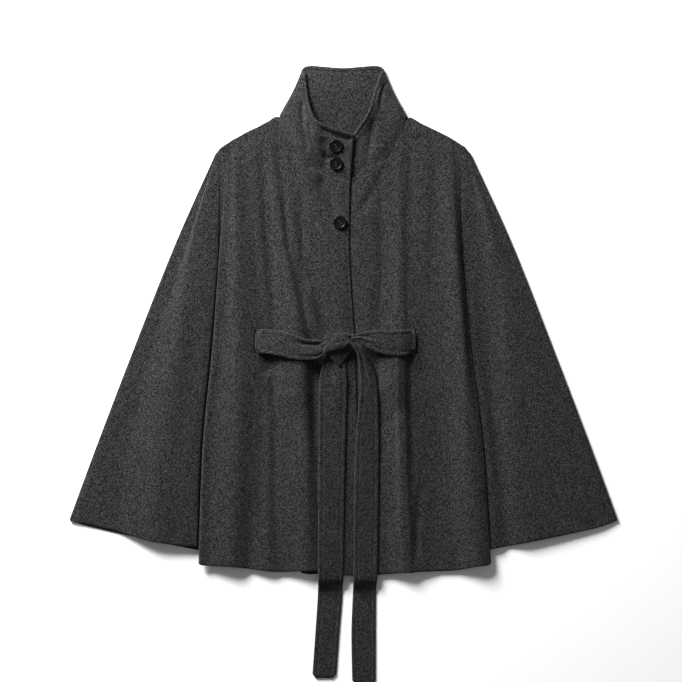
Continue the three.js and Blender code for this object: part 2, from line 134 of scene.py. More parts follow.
def smooth(knots, values, at):
    """A cubic through (knots, values), flat where the values turn, so that it never overshoots."""
    knots = np.asarray(knots, float)
    values = np.asarray(values, float)
    at = np.asarray(at, float)
    wide = (-1,) + (1,) * (values.ndim - 1)
    step = np.diff(knots)
    slope = np.diff(values, axis=0) / step.reshape(wide)
    before, after = slope[:-1], slope[1:]
    agree = before * after > 0
    total = np.where(agree, before + after, 1.0)
    tangent = np.empty_like(values)
    tangent[0], tangent[-1] = slope[0], slope[-1]
    tangent[1:-1] = np.where(agree, 2 * before * after / total, 0.0)
    i = np.clip(np.searchsorted(knots, at, side="right") - 1, 0, len(step) - 1)
    t = np.clip((at - knots[i]) / step[i], 0, 1).reshape(wide)
    h = step[i].reshape(wide)
    return (
        values[i] * (2 * t**3 - 3 * t**2 + 1)
        + values[i + 1] * (3 * t**2 - 2 * t**3)
        + h * (tangent[i] * (t**3 - 2 * t**2 + t) + tangent[i + 1] * (t**3 - t**2))
    )


def read_table(columns, rows):
    """A table's rows in order, each with its name and its columns by name."""
    return [SimpleNamespace(name=name, **dict(zip(columns.split(), row))) for name, row in rows.items()]


def finely(cuts, fineness):
    """Places along a row of guides, cuts times fineness steps from each guide to the next."""
    places = [i + k / (n * fineness) for i, n in enumerate(cuts) for k in range(n * fineness)]
    return np.array(places + [len(cuts)])


def bump(distance, width):
    """A soft hump of height 1 that fades to nothing over a distance of about twice its width."""
    return np.exp(-((distance / width) ** 2))


def fade(value, start, end):
    """Rises smoothly from 0 at start to 1 at end."""
    t = np.clip((value - start) / (end - start), 0, 1)
    return t * t * (3 - 2 * t)


def waviness(points, size, seed):
    """Gentle noise from -1 to 1 over points in metres, with bumps of about a size."""
    flat = points.reshape(-1, 3) / size
    values = [noise.noise(Vector((x + seed, y * 0.45 - seed, z))) for x, y, z in flat]
    return np.array(values).reshape(points.shape[:-1])


def unit(vectors):
    return vectors / np.maximum(np.linalg.norm(vectors, axis=-1, keepdims=True), 1e-12)


def directions(grid, axis):
    """The direction of a grid's lines along an axis, from the neighbours on both sides."""
    steps = unit(np.diff(grid, axis=axis))
    pad = [(0, 0)] * grid.ndim
    pad[axis] = (1, 0)
    ahead = np.pad(steps, pad)
    pad[axis] = (0, 1)
    return unit(ahead + np.pad(steps, pad))


def normals_of(grid):
    """The normals of a grid of points whose rows run down and whose columns run to +X."""
    return unit(np.cross(directions(grid, 0), directions(grid, 1)))


# Cloth as a closed shell

def shell(name, grid, thickness, slot, gaps=None, press=0.0, roundness=0.42):
    """A closed wall round a grid of points, with rounded edges, a UV map in metres and smooth faces.

    gaps marks the grid's squares that are left out, and their edges are closed too. press is how far both
    faces sink in at each point, as they do along a seam.
    """
    rows, columns = grid.shape[:2]
    normals = normals_of(grid)
    half = (thickness / 2 - np.broadcast_to(press, (rows, columns)))[..., None]
    upper = (grid + normals * half).reshape(-1, 3)
    lower = (grid - normals * half).reshape(-1, 3)
    number = np.arange(rows * columns).reshape(rows, columns)
    keep = np.ones((rows - 1, columns - 1), bool) if gaps is None else ~gaps
    a = number[:-1, :-1][keep]
    b = number[1:, :-1][keep]
    c = number[1:, 1:][keep]
    d = number[:-1, 1:][keep]
    quads = np.stack([a, b, c, d], axis=1)
    edges = np.concatenate([quads[:, [0, 1]], quads[:, [1, 2]], quads[:, [2, 3]], quads[:, [3, 0]]])
    known = {(i, j) for i, j in edges.tolist()}
    rim = [(i, j) for i, j in edges.tolist() if (j, i) not in known]
    middle = grid.reshape(-1, 3)
    flat_normals = normals.reshape(-1, 3)
    outward = {}
    for i, j in rim:
        away = np.cross(middle[j] - middle[i], flat_normals[i])
        away /= max(np.linalg.norm(away), 1e-12)
        for k in (i, j):
            outward.setdefault(k, []).append(away)
    rim_number = {}
    rim_points = []
    for k, ways in outward.items():
        way = np.sum(ways, axis=0)
        way /= max(np.linalg.norm(way), 1e-12)
        rim_number[k] = 2 * len(upper) + len(rim_points)
        rim_points.append(middle[k] + way * thickness * roundness)
    points = np.concatenate([upper, lower, np.array(rim_points)])
    below = len(upper)
    faces = [tuple(q) for q in quads.tolist()]
    faces += [tuple(below + k for k in reversed(q)) for q in quads.tolist()]
    for i, j in rim:
        faces.append((j, i, rim_number[i], rim_number[j]))
        faces.append((rim_number[j], rim_number[i], below + i, below + j))
    across = np.concatenate([[0], np.cumsum(np.linalg.norm(np.diff(grid, axis=1), axis=2).mean(axis=0))])
    along = np.concatenate([[0], np.cumsum(np.linalg.norm(np.diff(grid, axis=0), axis=2).mean(axis=1))])
    plan = np.stack(np.meshgrid(across, along), axis=2).reshape(-1, 2)
    rim_plan = np.array([plan[k] for k in rim_number]).reshape(-1, 2)
    return make_object(name, points, faces, slot, np.concatenate([plan, plan, rim_plan]))


def reach(grid, axis, from_end=False):
    """The distance of each point from a grid's first line along an axis, or from its last."""
    steps = np.linalg.norm(np.diff(grid, axis=axis), axis=2)
    start = np.zeros_like(np.take(steps, [0], axis=axis))
    total = np.concatenate([start, np.cumsum(steps, axis=axis)], axis=axis)
    return np.take(total, [-1], axis=axis) - total if from_end else total


def line_at(grid, axis, inset, from_end=False, lift=0.0):
    """The line over a grid's upper face at a distance from one of its edges, for sewing to follow."""
    raised = np.moveaxis(grid + normals_of(grid) * lift, axis, 0)
    far = np.moveaxis(reach(grid, axis, from_end), axis, 0)
    if from_end:
        raised, far = raised[::-1], far[::-1]
    lines = [[np.interp(inset, far[:, k], raised[:, k, c]) for c in range(3)] for k in range(far.shape[1])]
    return np.array(lines)


def add_object(name, data):
    """A new object in the scene."""
    added = bpy.data.objects.new(name, data)
    bpy.context.scene.collection.objects.link(added)
    return added


def make_object(name, points, faces, slot, plan=None):
    """A mesh object with smooth faces that rides on the coat and has its material slot's finish."""
    mesh = bpy.data.meshes.new(name)
    mesh.from_pydata(np.asarray(points).tolist(), [], faces)
    used = bmesh.new()
    used.from_mesh(mesh)
    bmesh.ops.delete(used, geom=[v for v in used.verts if not v.link_faces], context="VERTS")
    used.to_mesh(mesh)
    used.free()
    mesh.polygons.foreach_set("use_smooth", [True] * len(mesh.polygons))
    if plan is not None and len(plan) == len(mesh.vertices):
        corners = np.empty(len(mesh.loops), np.int32)
        mesh.loops.foreach_get("vertex_index", corners)
        layer = mesh.uv_layers.new(name="cloth")
        layer.data.foreach_set("uv", np.asarray(plan)[corners].astype(np.float32).ravel())
    return settle(add_object(name, mesh), slot)


def settle(piece, slot):
    """Gives a finished piece its slot's material and its body."""
    piece.data.materials.clear()
    piece.data.materials.append(material_for(slot))
    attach(piece, "root")
    return piece


# The fronts: each row is the line of one ridge, valley or edge from the shoulder to the hem

GUIDE_COLUMNS = "topX topY chestX waistX skirtX hemX hemY topZ chestZ waistZ skirtZ hemZ cuts"
RIGHT_WING = {
    "wing_edge": [-216, 377, -282, -353, -421, -464, -245, 3.4, 3.4, 3.6, 4, 4.4, 1],
    "wing_rim": [-213, 380, -264, -326, -370, -392, -260.5, 3.8, 4.4, 4, 3.6, 3.5, 2],
    "wing_crown": [-211, 383, -254, -277, -302, -318, -281, 4.5, 12, 17.6, 19.4, 15.6, 2],
    "wing_brink": [-209.8, 384.5, -212.4, -225.7, -242.5, -249, -289, 5, 8, 10.2, 10.8, 10, 1],
    "wing_foot": [-209, 385.4, -210.4, -223.7, -240.5, -247, -289.6, 5, 5, 5.4, 5.6, 7.6, 1],
    "wing_valley": [-208, 386, -205.5, -213.5, -230, -237, -291, 5, 4.6, 4.2, 4.2, 4.2, 1],
}
RIGHT_BODY = {
    "side_rise": [-188, 400, -196, -206, -221, -228, -321, 5.4, 9.4, 9.6, 11, 10.8, 2],
    "side_crown": [-184, 402, -179, -177, -183, -190, -322.5, 6, 16.5, 18.5, 19.4, 17.5, 2],
    "side_slope": [-178, 405, -167, -157, -160, -173, -324.5, 6, 14, 15, 14.6, 12.8, 2],
    "side_valley": [-173, 408, -152, -134, -137, -157, -326.5, 6, 11.2, 9.8, 9, 7.6, 2],
    "slit_ridge": [-158, 416, -139, -126, -124, -127, -330.5, 6, 12, 10.3, 10.1, 10.8, 2],
    "slit_valley": [-143, 423, -122, -116.5, -111, -104, -331.5, 6, 8.6, 8.4, 8.4, 7.5, 2],
    "long_rise": [-136, 427, -111, -98, -88, -83, -330.5, 6.2, 11.6, 14.6, 12.6, 10.8, 1],
    "long_ridge": [-128, 431, -101, -71, -63.5, -61, -329.5, 6.5, 14.8, 21.8, 18.8, 15.8, 3],
    "long_valley": [-112, 440, -90, -54, -46, -36, -332, 6.5, 11.6, 13, 10.2, 8.6, 1],
    "neck_ridge": [-102, 424, -78, -40, -35, -27, -336.5, 8, 11.6, 12, 9.4, 8.6, 2],
    "neck_valley": [-88, 392, -68, -28, -22, -15, -336.5, 9, 10, 9.6, 9.2, 8.6, 2],
    "breast_ridge": [-65, 363, -15, -4, -3, -6, -336.5, 14, 14.4, 12.6, 11.8, 11.6, 2],
    "facing_fold": [-29, 341, -3, 8, 9, 8, -337.5, 11.6, 13.4, 12, 10.4, 9.8, 4],
    "front_edge": [11, 329, 10, 19.5, 24, 24, -337.5, 11.5, 11.6, 10.4, 8.4, 7.8, 1],
}
LEFT_BODY = {
    "underlap_edge": [-25, 327, -25, -22, -22, -22, -335.5, 7, 6.2, 5.8, 5.2, 5, 1],
    "underlap_middle": [0, 327, 0, 8, 10, 10, -336.5, 7, 6.2, 5.8, 5.2, 5, 1],
    "front_line": [22, 339, 22, 29, 33, 33, -337.5, 8.2, 10.2, 9.2, 6.2, 5.6, 2],
    "neck_ridge": [41, 353, 42, 40, 45, 49, -337.5, 9.4, 10.2, 10, 8.8, 8, 2],
    "neck_valley": [70, 368, 72, 61, 70, 74, -335.5, 9, 7.6, 7.2, 7.4, 7, 2],
    "long_rise": [82, 384, 85, 82, 88, 90, -334, 8.6, 9.8, 11.4, 11.8, 10.6, 1],
    "long_ridge": [93, 399, 95, 93, 97, 104, -332.5, 8.8, 12, 16.6, 18.8, 15.6, 1],
    "long_shoulder": [104, 426, 103, 102, 105, 115, -332.5, 7.6, 11, 16.2, 18.2, 15, 1],
    "long_valley": [114, 438, 117, 111, 113.5, 125, -331.5, 7, 8, 12, 13.4, 12, 3],
    "slit_ridge": [133, 428, 144, 146, 153, 165, -330.5, 6.5, 9, 6.8, 5.6, 5.4, 2],
    "side_valley": [160, 415, 162, 169, 177, 188, -329.5, 6, 8.6, 8, 5.8, 5.8, 2],
    "side_crown": [180, 405, 189, 203, 214, 229, -321.5, 6, 15.2, 18, 18.5, 17.5, 2],
}
LEFT_WING = {
    "wing_start": [209, 385.6, 206, 222, 243.5, 256, -292, 5, 5.8, 7.6, 8.8, 8.8, 1],
    "wing_valley": [210, 384.6, 232, 246, 264, 280, -288, 4.8, 4.2, 3.8, 4, 4.2, 2],
    "wing_crown": [211, 383, 255, 283, 299, 318, -281, 4.5, 9.2, 11.2, 10.8, 9.8, 2],
    "wing_rim": [213, 380, 270, 338, 402, 438, -255, 3.8, 5.2, 5.4, 5.8, 5.4, 1],
    "wing_edge": [216.5, 377, 284, 354.5, 422.5, 465.5, -245, 3.4, 3.4, 3.4, 3.4, 3.4, 1],
}

# Where a front's body is folded back over its wing: the lip that shows and the turn that it hides, as places
# across, and the heights of the six lines round them
PLEAT_COLUMNS = "topX topY chestX waistX skirtX hemX hemY"
RIGHT_PLEAT = {
    "turn": [-207, 387, -199, -195, -195, -194, -310],
    "lip": [-191, 398, -207.4, -220.7, -237.5, -244, -319.5],
}
LEFT_PLEAT = {
    "turn": [207, 388, 191, 186, 197, 208, -310],
    "lip": [190, 399, 200, 216, 237.5, 250, -319.5],
}
PLEAT = SimpleNamespace(
    lowest=4.6, chest_rise=1.12, waist_rise=1.6, skirt_rise=2.1, bend=3, chest_bend=1.2, top_z=5)

# Small creases in the fronts: each starts and ends at a place, bows aside, has a width, and stands up or
# sinks in. At both ends it fades over a share of its length
CREASE_FADE = SimpleNamespace(start=(-0.06, 0.16), end=(0.72, 1.06))
CREASE_COLUMNS = "startX startY endX endY bow width height"
CREASES = {
    "under_belt_right": [-124, 50, -117, -60, 0, 7, -4],
    "beside_long_right": [-50, 40, -46, -120, 1, 8, -2],
    "hollow_right": [-38, 48, -32, -20, 0, 16, -6],
    "hollow_middle": [-14, 42, -12, 0, 0, 16, -2.5],
    "under_belt_left": [54, 62, 53, -60, -2, 7, -3.4],
    "beside_long_left": [112, 60, 118, -200, -1, 6, -1.6],
    "above_belt_left": [107, 330, 107, 84, -1, 5, -1],
    "shoulder_right_one": [-136, 395, -124, 150, 2, 7, -2.6],
    "shoulder_right_two": [-112, 400, -92, 190, -2, 6, -2.8],
    "chest_right": [-69, 330, -64, 96, 3, 6, -1.6],
    "breast_diagonal": [-40, 340, -4, 256, 2, 11, -6.5],
    "neck_diagonal": [-62, 372, -30, 300, 5, 6, -2.4],
    "breast_left": [72, 356, 22, 272, -4, 8, -3.2],
    "chest_left_one": [66, 330, 60, 90, -3, 7, -2.6],
    "chest_left_two": [157, 372, 150, 110, 3, 8, -2],
    "shoulder_left": [117, 400, 110, 250, -2, 7, -2.2],
    "skirt_right_one": [-150, 0, -162, -322, 2, 9, -1.2],
    "skirt_right_two": [-117, -60, -112, -324, 2, 7, -2.4],
    "skirt_left_one": [56, -60, 60, -330, 3, 8, -2.2],
    "skirt_left_two": [160, -40, 166, -326, -4, 10, -3],
    "blouse_right_side": [-104, 46, -98, -20, 0, 10, 3],
    "blouse_left_side": [63, 53, 70, -40, 0, 12, 11],
    "under_belt_right_end": [-132, 47, -125, 0, 0, 8, -7],
    "fill_above_belt": [-58, 160, -50, 72, 0, 9, 2.4],
    "hem_left": [134, -180, 122, -332, 2, 7, -2.6],
    "wing_right_one": [-246, 130, -300, -210, -8, 14, -1.6],
    "wing_right_two": [-318, 20, -372, -220, 6, 18, 1.1],
    "wing_left_one": [262, 210, 274, -60, 6, 10, -2.2],
    "wing_left_two": [340, 20, 386, -225, -6, 18, 1.1],
    "blouse_right": [-84, 46, -78, -60, 0, 18, 4.6],
    "blouse_left": [80, 52, 85, -60, 0, 18, 9],
    "placket_dip": [-72, 320, -62, 180, 2, 9, -1.2],
}


def pleat_guides(pleat, side):
    """The six guide lines round a pleat's turn and its lip. side is -1 where the lip points to -X."""
    turn, lip = read_table(PLEAT_COLUMNS, pleat)
    around = [
        (turn, 0, 1, 0),
        (turn, 1 / 5, 0, 1),
        (turn, 2 / 5, 1, 2),
        (lip, 3 / 5, -1, 2),
        (lip, 4 / 5, 0, 3),
        (lip, 1, -1, 4),
    ]
    guides = []
    for on, part, inward, level in around:
        shift = side * inward * PLEAT.bend
        guides.append(SimpleNamespace(
            topX=turn.topX + (lip.topX - turn.topX) * part,
            topY=turn.topY + (lip.topY - turn.topY) * part,
            chestX=on.chestX + side * inward * PLEAT.chest_bend,
            waistX=on.waistX + shift,
            skirtX=on.skirtX + shift,
            hemX=on.hemX + shift,
            hemY=turn.hemY + (lip.hemY - turn.hemY) * level / 4,
            topZ=PLEAT.top_z,
            chestZ=PLEAT.lowest + level * PLEAT.chest_rise,
            waistZ=PLEAT.lowest + level * PLEAT.waist_rise,
            skirtZ=PLEAT.lowest + level * PLEAT.skirt_rise,
            hemZ=PLEAT.lowest + level * PLEAT.skirt_rise,
            cuts=1,
        ))
    return guides if side < 0 else guides[::-1]


def guide_line(guide, shares):
    """A guide's points at shares of the way from its top to its hem, in millimetres."""
    y = guide.topY + (guide.hemY - guide.topY) * shares
    heights = [guide.hemY, SKIRT_Y, WAIST_Y, CHEST_Y, guide.topY]
    x = smooth(heights, [guide.hemX, guide.skirtX, guide.waistX, guide.chestX, guide.topX], y)
    z = smooth(heights, [guide.hemZ, guide.skirtZ, guide.waistZ, guide.chestZ, guide.topZ], y)
    return np.stack([x, y, z], axis=1)


def front_surface(guides):
    """The middle surface of a front, rows from the shoulder to the hem, in millimetres."""
    shares = np.linspace(0, 1, FRONT_ROWS + 1)
    lines = np.array([guide_line(guide, shares) for guide in guides])
    places = finely([guide.cuts for guide in guides[:-1]], FRONT_FINENESS)
    return smooth(np.arange(len(guides)), lines, places).transpose(1, 0, 2)


def crease_lift(x, y, table):
    """How far a table of creases lifts the points at x and y, in millimetres."""
    lift = np.zeros(x.shape)
    for crease in read_table(CREASE_COLUMNS, table):
        start = np.array([crease.startX, crease.startY])
        run = np.array([crease.endX, crease.endY]) - start
        length = np.linalg.norm(run)
        ahead = run / length
        share = ((x - start[0]) * ahead[0] + (y - start[1]) * ahead[1]) / length
        aside = (x - start[0]) * ahead[1] - (y - start[1]) * ahead[0]
        aside = aside - crease.bow * np.sin(np.pi * np.clip(share, 0, 1))
        ends = fade(share, *CREASE_FADE.start) * (1 - fade(share, *CREASE_FADE.end))
        lift += crease.height * bump(aside, crease.width) * ends
    return lift


# The fronts' ripple: the size in metres of its large and small bumps, and how much the small ones count
RIPPLE = SimpleNamespace(large=0.055, small=0.024, small_share=0.5)

# The height from which the fronts can crease, over how much they come free, and how low a crease may go
FREE = SimpleNamespace(start=3.2, depth=8, lowest=3.4)


def soften(grid, seed, ripple):
    """Adds the small creases and an uneven ripple, which fades towards the surface the coat lies on."""
    cloth = bpy.context.scene.coat_cloth
    grid = grid.copy()
    free = np.clip((grid[..., 2] - FREE.start) / FREE.depth, 0, 1)
    small = waviness(grid * MM, RIPPLE.small, seed + 7)
    uneven = waviness(grid * MM, RIPPLE.large, seed) + RIPPLE.small_share * small
    lift = crease_lift(grid[..., 0], grid[..., 1], CREASES) * cloth.crease + uneven * ripple / MM
    grid[..., 2] = np.maximum(grid[..., 2] + lift * free, np.minimum(grid[..., 2], FREE.lowest))
    return grid


def cut_slit(grid, slit_x):
    """Parts two columns round a belt slit. Returns the grid and the squares to leave out."""
    grid = grid.copy()
    middle_row = int(np.argmin(np.abs(grid[:, 0, 1] - SLIT.y)))
    column = int(np.argmin(np.abs(grid[middle_row, :, 0] - slit_x) + 0.01 * grid[middle_row, :, 2]))
    gaps = np.zeros((grid.shape[0] - 1, grid.shape[1] - 1), bool)
    reach_y = SLIT.height / 2
    for row in range(grid.shape[0]):
        y = grid[row, column, 1]
        near = float(1 - fade(abs(y - SLIT.y), reach_y, reach_y + SLIT.ease))
        if near <= 0:
            continue
        inside = abs(y - SLIT.y) <= reach_y
        half = SLIT.width / 2 if inside else SLIT.closing * SLIT.width / 2 * near
        for side, edge in ((0, slit_x - half), (1, slit_x + half)):
            move = (edge - grid[row, column + side, 0]) * near
            for away in range(SLIT.columns):
                k = column + side + (away if side else -away)
                grid[row, k, 0] += move * (1 - fade(away, 0, SLIT.columns))
        if inside and row < grid.shape[0] - 1 and abs(grid[row + 1, column, 1] - SLIT.y) <= reach_y:
            gaps[row, column] = True
    return grid, gaps


# The back's outline, from the neck down its left side, along the hem to the right, and mirrored back up

BACK_COLUMNS = "x y"
BACK_SIDE = {
    "neck_middle": [0, 396],
    "neck_quarter": [48, 402.5],
    "neck_side": [90, 425],
    "neck_point": [107, 441],
    "shoulder": [167, 411],
    "shoulder_end": [206, 387],
    "upper_arm": [219, 372],
    "arm": [282, 229],
    "fore_arm": [353, 50],
    "cuff": [421, -128],
    "wing_tip": [463.7, -245.5],
    "wing_hem": [440, -253.5],
    "wing_hem_middle": [325, -280.5],
    "wing_hem_end": [250, -295],
}
BACK_HEM = {
    "left_side": [170, -314],
    "left_body": [80, -327],
    "middle": [0, -333],
    "lobe_end": [-36, -336],
    "lobe_low": [-58, -337],
    "lobe_start": [-69, -335],
    "right_body": [-82, -326],
    "right_side": [-170, -314],
}


# The stand collar, from its lapped end round the back of the neck to its under end

COLLAR_COLUMNS = "baseX baseY topX topY bow baseZ lowZ highZ topZ cuts"
COLLAR_RIGHT = {
    "front_edge": [11, 329, 17.5, 409, 0, 12.4, 12.8, 14.4, 19.5, 2],
    "facing_fold": [-15, 336, 3, 412.6, 0, 12.2, 12.8, 14.6, 21, 2],
    "breast_ridge": [-60, 360, -44.5, 431, 0, 13.6, 19.5, 22.5, 24.5, 2],
    "neck_valley": [-88, 392, -57.5, 459, 1, 10.5, 16, 18.5, 18.6, 2],
    "neck_ridge": [-102, 424, -61.8, 487, 1.5, 9.4, 12.4, 13, 12, 2],
}
COLLAR_BACK = {
    "right_front_turn": [-105.3, 438.4, -64.5, 513, 3, 9.4, 9.8, 9.8, 9.6, 1],
    "right_side": [-107, 442, -67.8, 518.5, 3, 5.8, 6, 6, 5.9, 1],
    "right_back_turn": [-104.6, 439.4, -64.5, 523.5, 3, 2.2, 2.2, 2.2, 2.2, 1],
    "right_back": [-92, 427.5, -53, 525.5, 1.5, 2.2, 5, 6, 3.2, 1],
    "right_quarter": [-49, 404, -29, 523.5, 0, 2.2, 7, 8.6, 3.6, 1],
    "middle": [0, 397, 0, 521.5, 0, 2.2, 6, 7.5, 3.4, 1],
    "left_quarter": [49, 404, 29, 523.5, 0, 2.2, 5, 6, 3.2, 1],
    "left_back": [92, 427.5, 53, 525.5, -1.5, 2.2, 2.2, 2.2, 2.2, 1],
    "left_back_turn": [104.6, 439.4, 64.5, 523.5, -3, 2.2, 2.2, 2.2, 2.2, 1],
    "left_side": [107, 442, 67.8, 518.5, -3, 5.8, 6, 6, 5.9, 1],
    "left_front_turn": [105.3, 438.4, 64.5, 513, -3, 9.4, 9.8, 9.8, 9.6, 1],
}
COLLAR_LEFT = {
    "long_shoulder": [103.5, 427, 60, 500, -1.5, 9.4, 10.4, 11, 11, 1],
    "long_ridge": [93, 399, 55, 484, -1, 9.5, 10.6, 11.2, 12.4, 3],
    "neck_valley": [70, 368, 44, 448, 0, 10.5, 11.4, 12, 17.5, 2],
    "neck_ridge": [41, 353, 29, 424, 0, 10, 10.6, 11, 16.5, 2],
    "front_line": [22, 339, 14, 404, 0, 7.2, 8, 8.6, 10.4, 1],
    "underlap_middle": [0, 327, 1, 394, 0, 6.2, 7.4, 8.8, 10.5, 1],
    "underlap_edge": [-25, 327, -22, 389, 0, 6.2, 7.4, 8.8, 10.5, 1],
}
COLLAR_CREASES = {
    "right_soft_outer": [-68, 468, -57, 380, 5, 6, -5.5],
    "right_soft_inner": [-57, 432, -40, 366, 4, 4.5, -4],
    "right_rim": [-66, 500, -60, 436, 2, 4, 1.2],
    "left_crease": [74, 500, 62, 452, 3, 3.5, -2.4],
    "left_soft": [52, 440, 38, 358, -2, 7, -3.2],
    "left_rim": [62, 510, 52, 440, -2, 4, 1.2],
    "under_rim": [-38, 421, 22, 399, 4, 6, -6],
    "button_dip": [-34, 404, -26, 344, 2, 9, -4],
    "button_fold": [-36, 374, -4, 366, 0, 6, -5],
}
# The collar's gap at its seam with the fronts, the band above that seam, the heights between which it
# stands free, and its pressed edges
COLLAR = SimpleNamespace(
    gap=0.2, band=20, band_dip=1.2, band_press=1.15, free=(5, 9), soft=0.5, soft_size=0.035,
    top_press=1.3, lap_press=0.7, lap_top=(3, 9))

# The seam at the back of the neck: its place, the part of the collar's length that it lies in, and how it
# fades in below the top edge
NECK_SEAM = SimpleNamespace(x=6.8, width=1.2, press=1.1, within=(0.35, 0.75), top=(8, 26))


def lofted(places, point, rows, fineness):
    """Lines at shares from 0 to 1 of the way across tabled places, each smooth along the places."""
    at = finely([place.cuts for place in places[:-1]], fineness)
    knots = np.arange(len(places))
    shares = np.linspace(0, 1, rows + 1)
    return np.array([smooth(knots, [point(place, share) for place in places], at) for share in shares])


def collar_point(place, down):
    """A point of the collar, a share of the way down from its top edge, in millimetres."""
    share = 1 - down * (0.45 + 0.55 * down)
    base = np.array([place.baseX, place.baseY], float)
    top = np.array([place.topX, place.topY], float)
    rise = top - base
    base += rise / np.linalg.norm(rise) * COLLAR.gap
    at = base + (top - base) * share
    heights = [place.baseZ, place.lowZ, place.highZ, place.topZ]
    z = smooth([0, 1 / 3, 2 / 3, 1], heights, [share])[0]
    return [at[0] + place.bow * math.sin(math.pi * share), at[1], z]


def collar_surface():
    """The middle surface of the collar, rows from its top edge to its base, in millimetres."""
    tables = (COLLAR_RIGHT, COLLAR_BACK, COLLAR_LEFT)
    places = [place for table in tables for place in read_table(COLLAR_COLUMNS, table)]
    grid = lofted(places, collar_point, COLLAR_ROWS, COLLAR_FINENESS)
    base = reach(grid, 0, True)
    standing = fade(grid[..., 2], *COLLAR.free)
    lift = crease_lift(grid[..., 0], grid[..., 1], COLLAR_CREASES)
    lift += COLLAR.soft * waviness(grid * MM, COLLAR.soft_size, 6.1)
    grid[..., 2] += (lift - COLLAR.band_dip * (1 - fade(base, 0, COLLAR.band))) * standing
    return grid


# The belt, from the knot out to the right slit, behind the fronts, out of the left slit and back

BELT_COLUMNS = "x topY bottomY z cuts"
BELT_PATH = {
    "right_knot_end": [-35, 60, 35, 25.5, 1],
    "right_pinch": [-45, 60, 29.5, 26, 1],
    "right_dip": [-64, 62, 28, 27, 1],
    "right_ridge_in": [-85, 69, 30, 28.2, 1],
    "right_ridge_out": [-102, 74, 34, 26.8, 1],
    "right_slope": [-128, 78, 39, 20, 1],
    "right_slit_top": [-142.5, 78.5, 39.5, 16.8, 1],
    "right_slit_lip": [-147.5, 78.5, 39.5, 14, 1],
    "right_slit_foot": [-147.5, 78.5, 39.5, 7.6, 1],
    "right_under": [-142.5, 78.5, 39.5, 4, 1],
    "back_middle": [-12, 78.5, 39.5, 4, 1],
    "left_under": [117.5, 78.5, 39.5, 4, 1],
    "left_slit_foot": [122.5, 78.5, 39.5, 7.6, 1],
    "left_slit_lip": [122.5, 78.5, 39.5, 12.6, 1],
    "left_slit_top": [117.5, 78, 38, 14.6, 1],
    "left_ridge_out": [97, 77, 35, 24, 1],
    "left_ridge_in": [80, 76, 36.5, 25.2, 1],
    "left_dip": [60, 77, 41, 25.6, 1],
    "left_waist": [42, 75, 49, 26.2, 1],
    "left_pinch": [26, 71.5, 59, 26.5, 1],
    "left_knot_end": [15, 68, 59, 25.5, 1],
}

# The belt's ends come out of the knot, lie on the fronts and drop over the hem to the surface
TAIL_COLUMNS = "y leftX rightX z cuts"
RIGHT_TAIL = {
    "knot": [39, -25, 0, 15.2, 1],
    "below_knot": [16, -35, 4, 15, 1],
    "front": [-20, -39, 6, 15.8, 2],
    "skirt": [-128, -40, 3, 15.4, 2],
    "above_hem": [-300, -41, 0, 15, 1],
    "hem": [-341, -41, -0.5, 13.6, 1],
    "drop": [-356, -41, -2, 6, 1],
    "floor": [-372, -41.5, -2.5, 1.8, 1],
    "lower": [-440, -46, -8, 1.8, 1],
    "end": [-512, -51, -13, 1.8, 1],
}
LEFT_TAIL = {
    "knot": [56, 14, 20, 29, 1],
    "turn": [48, 20, 31, 28.5, 1],
    "fall": [36, 25.5, 39, 25, 1],
    "below_knot": [20, 28, 46, 20, 1],
    "front": [-14, 30, 57, 15.6, 2],
    "skirt": [-128, 22, 60, 12.6, 2],
    "above_hem": [-300, 19, 58, 12.2, 1],
    "hem": [-341, 19, 57, 12.8, 1],
    "drop": [-356, 18.5, 55.5, 6, 1],
    "floor": [-372, 18, 54.5, 1.8, 1],
    "lower": [-440, 15.5, 54, 1.8, 1],
    "end": [-523.5, 17, 54, 1.8, 1],
}

# The belt's unevenness, the heights between which it comes free, how it rounds into the two slits, and how
# wide and how far out its grooves and its sewing set in
BELT = SimpleNamespace(
    soft=0.7, soft_size=0.03, free=(15, 22), rounding=8, lip=(8, 14), right_slit=(134, 146),
    left_slit=(109, 121), grooved=(18, 30), sewn_from=28)

# The belt ends' rounded corners, their unevenness, how far down their tilt sets in, the heights between
# which they come free, the lowest they lie, and how wide they are where their grooves and sewing set in
TAIL = SimpleNamespace(
    corner=5.0, soft=0.9, soft_size=0.045, tilt=(40, 90), free=(2, 10), lowest=1.8,
    grooved=(18, 26), sewn_from=0.6)

# Puckers that start at the knot's ends. Each lies at a share of the belt's width, slants away from it, and
# fades out between two distances from the knot
KNOT_LEFT_X = 15
KNOT_RIGHT_X = -35
PUCKER_COLUMNS = "height share slant width start end"
LEFT_PUCKERS = {
    "upper_furrow": [-2.6, 0.3, 0.002, 0.1, 14, 58],
    "lower_furrow": [-2.8, 0.74, -0.002, 0.09, 8, 44],
    "middle_ridge": [1.5, 0.52, 0, 0.16, 20, 62],
}
RIGHT_PUCKERS = {
    "upper_furrow": [-3.4, 0.2, 0.0016, 0.1, 22, 66],
    "upper_edge": [1.0, 0.02, 0, 0.1, 20, 70],
    "middle_ridge": [1.6, 0.6, 0, 0.22, 10, 60],
    "lower_furrow": [-1.2, 0.86, 0, 0.07, 6, 34],
}
TAIL_PUCKERS = {
    "furrow": [-1.7, 0.36, 0, 0.13, 30, 95],
    "ridge": [1.1, 0.7, 0, 0.16, 30, 110],
}


def pucker_lift(share, away, table):
    """How far puckers lift the belt at shares of its width and distances from the knot, in millimetres."""
    lift = 0.0
    for p in read_table(PUCKER_COLUMNS, table):
        across = bump(share - p.share - p.slant * away, p.width)
        lift = lift + p.height * across * (1 - fade(away, p.start, p.end))
    return lift


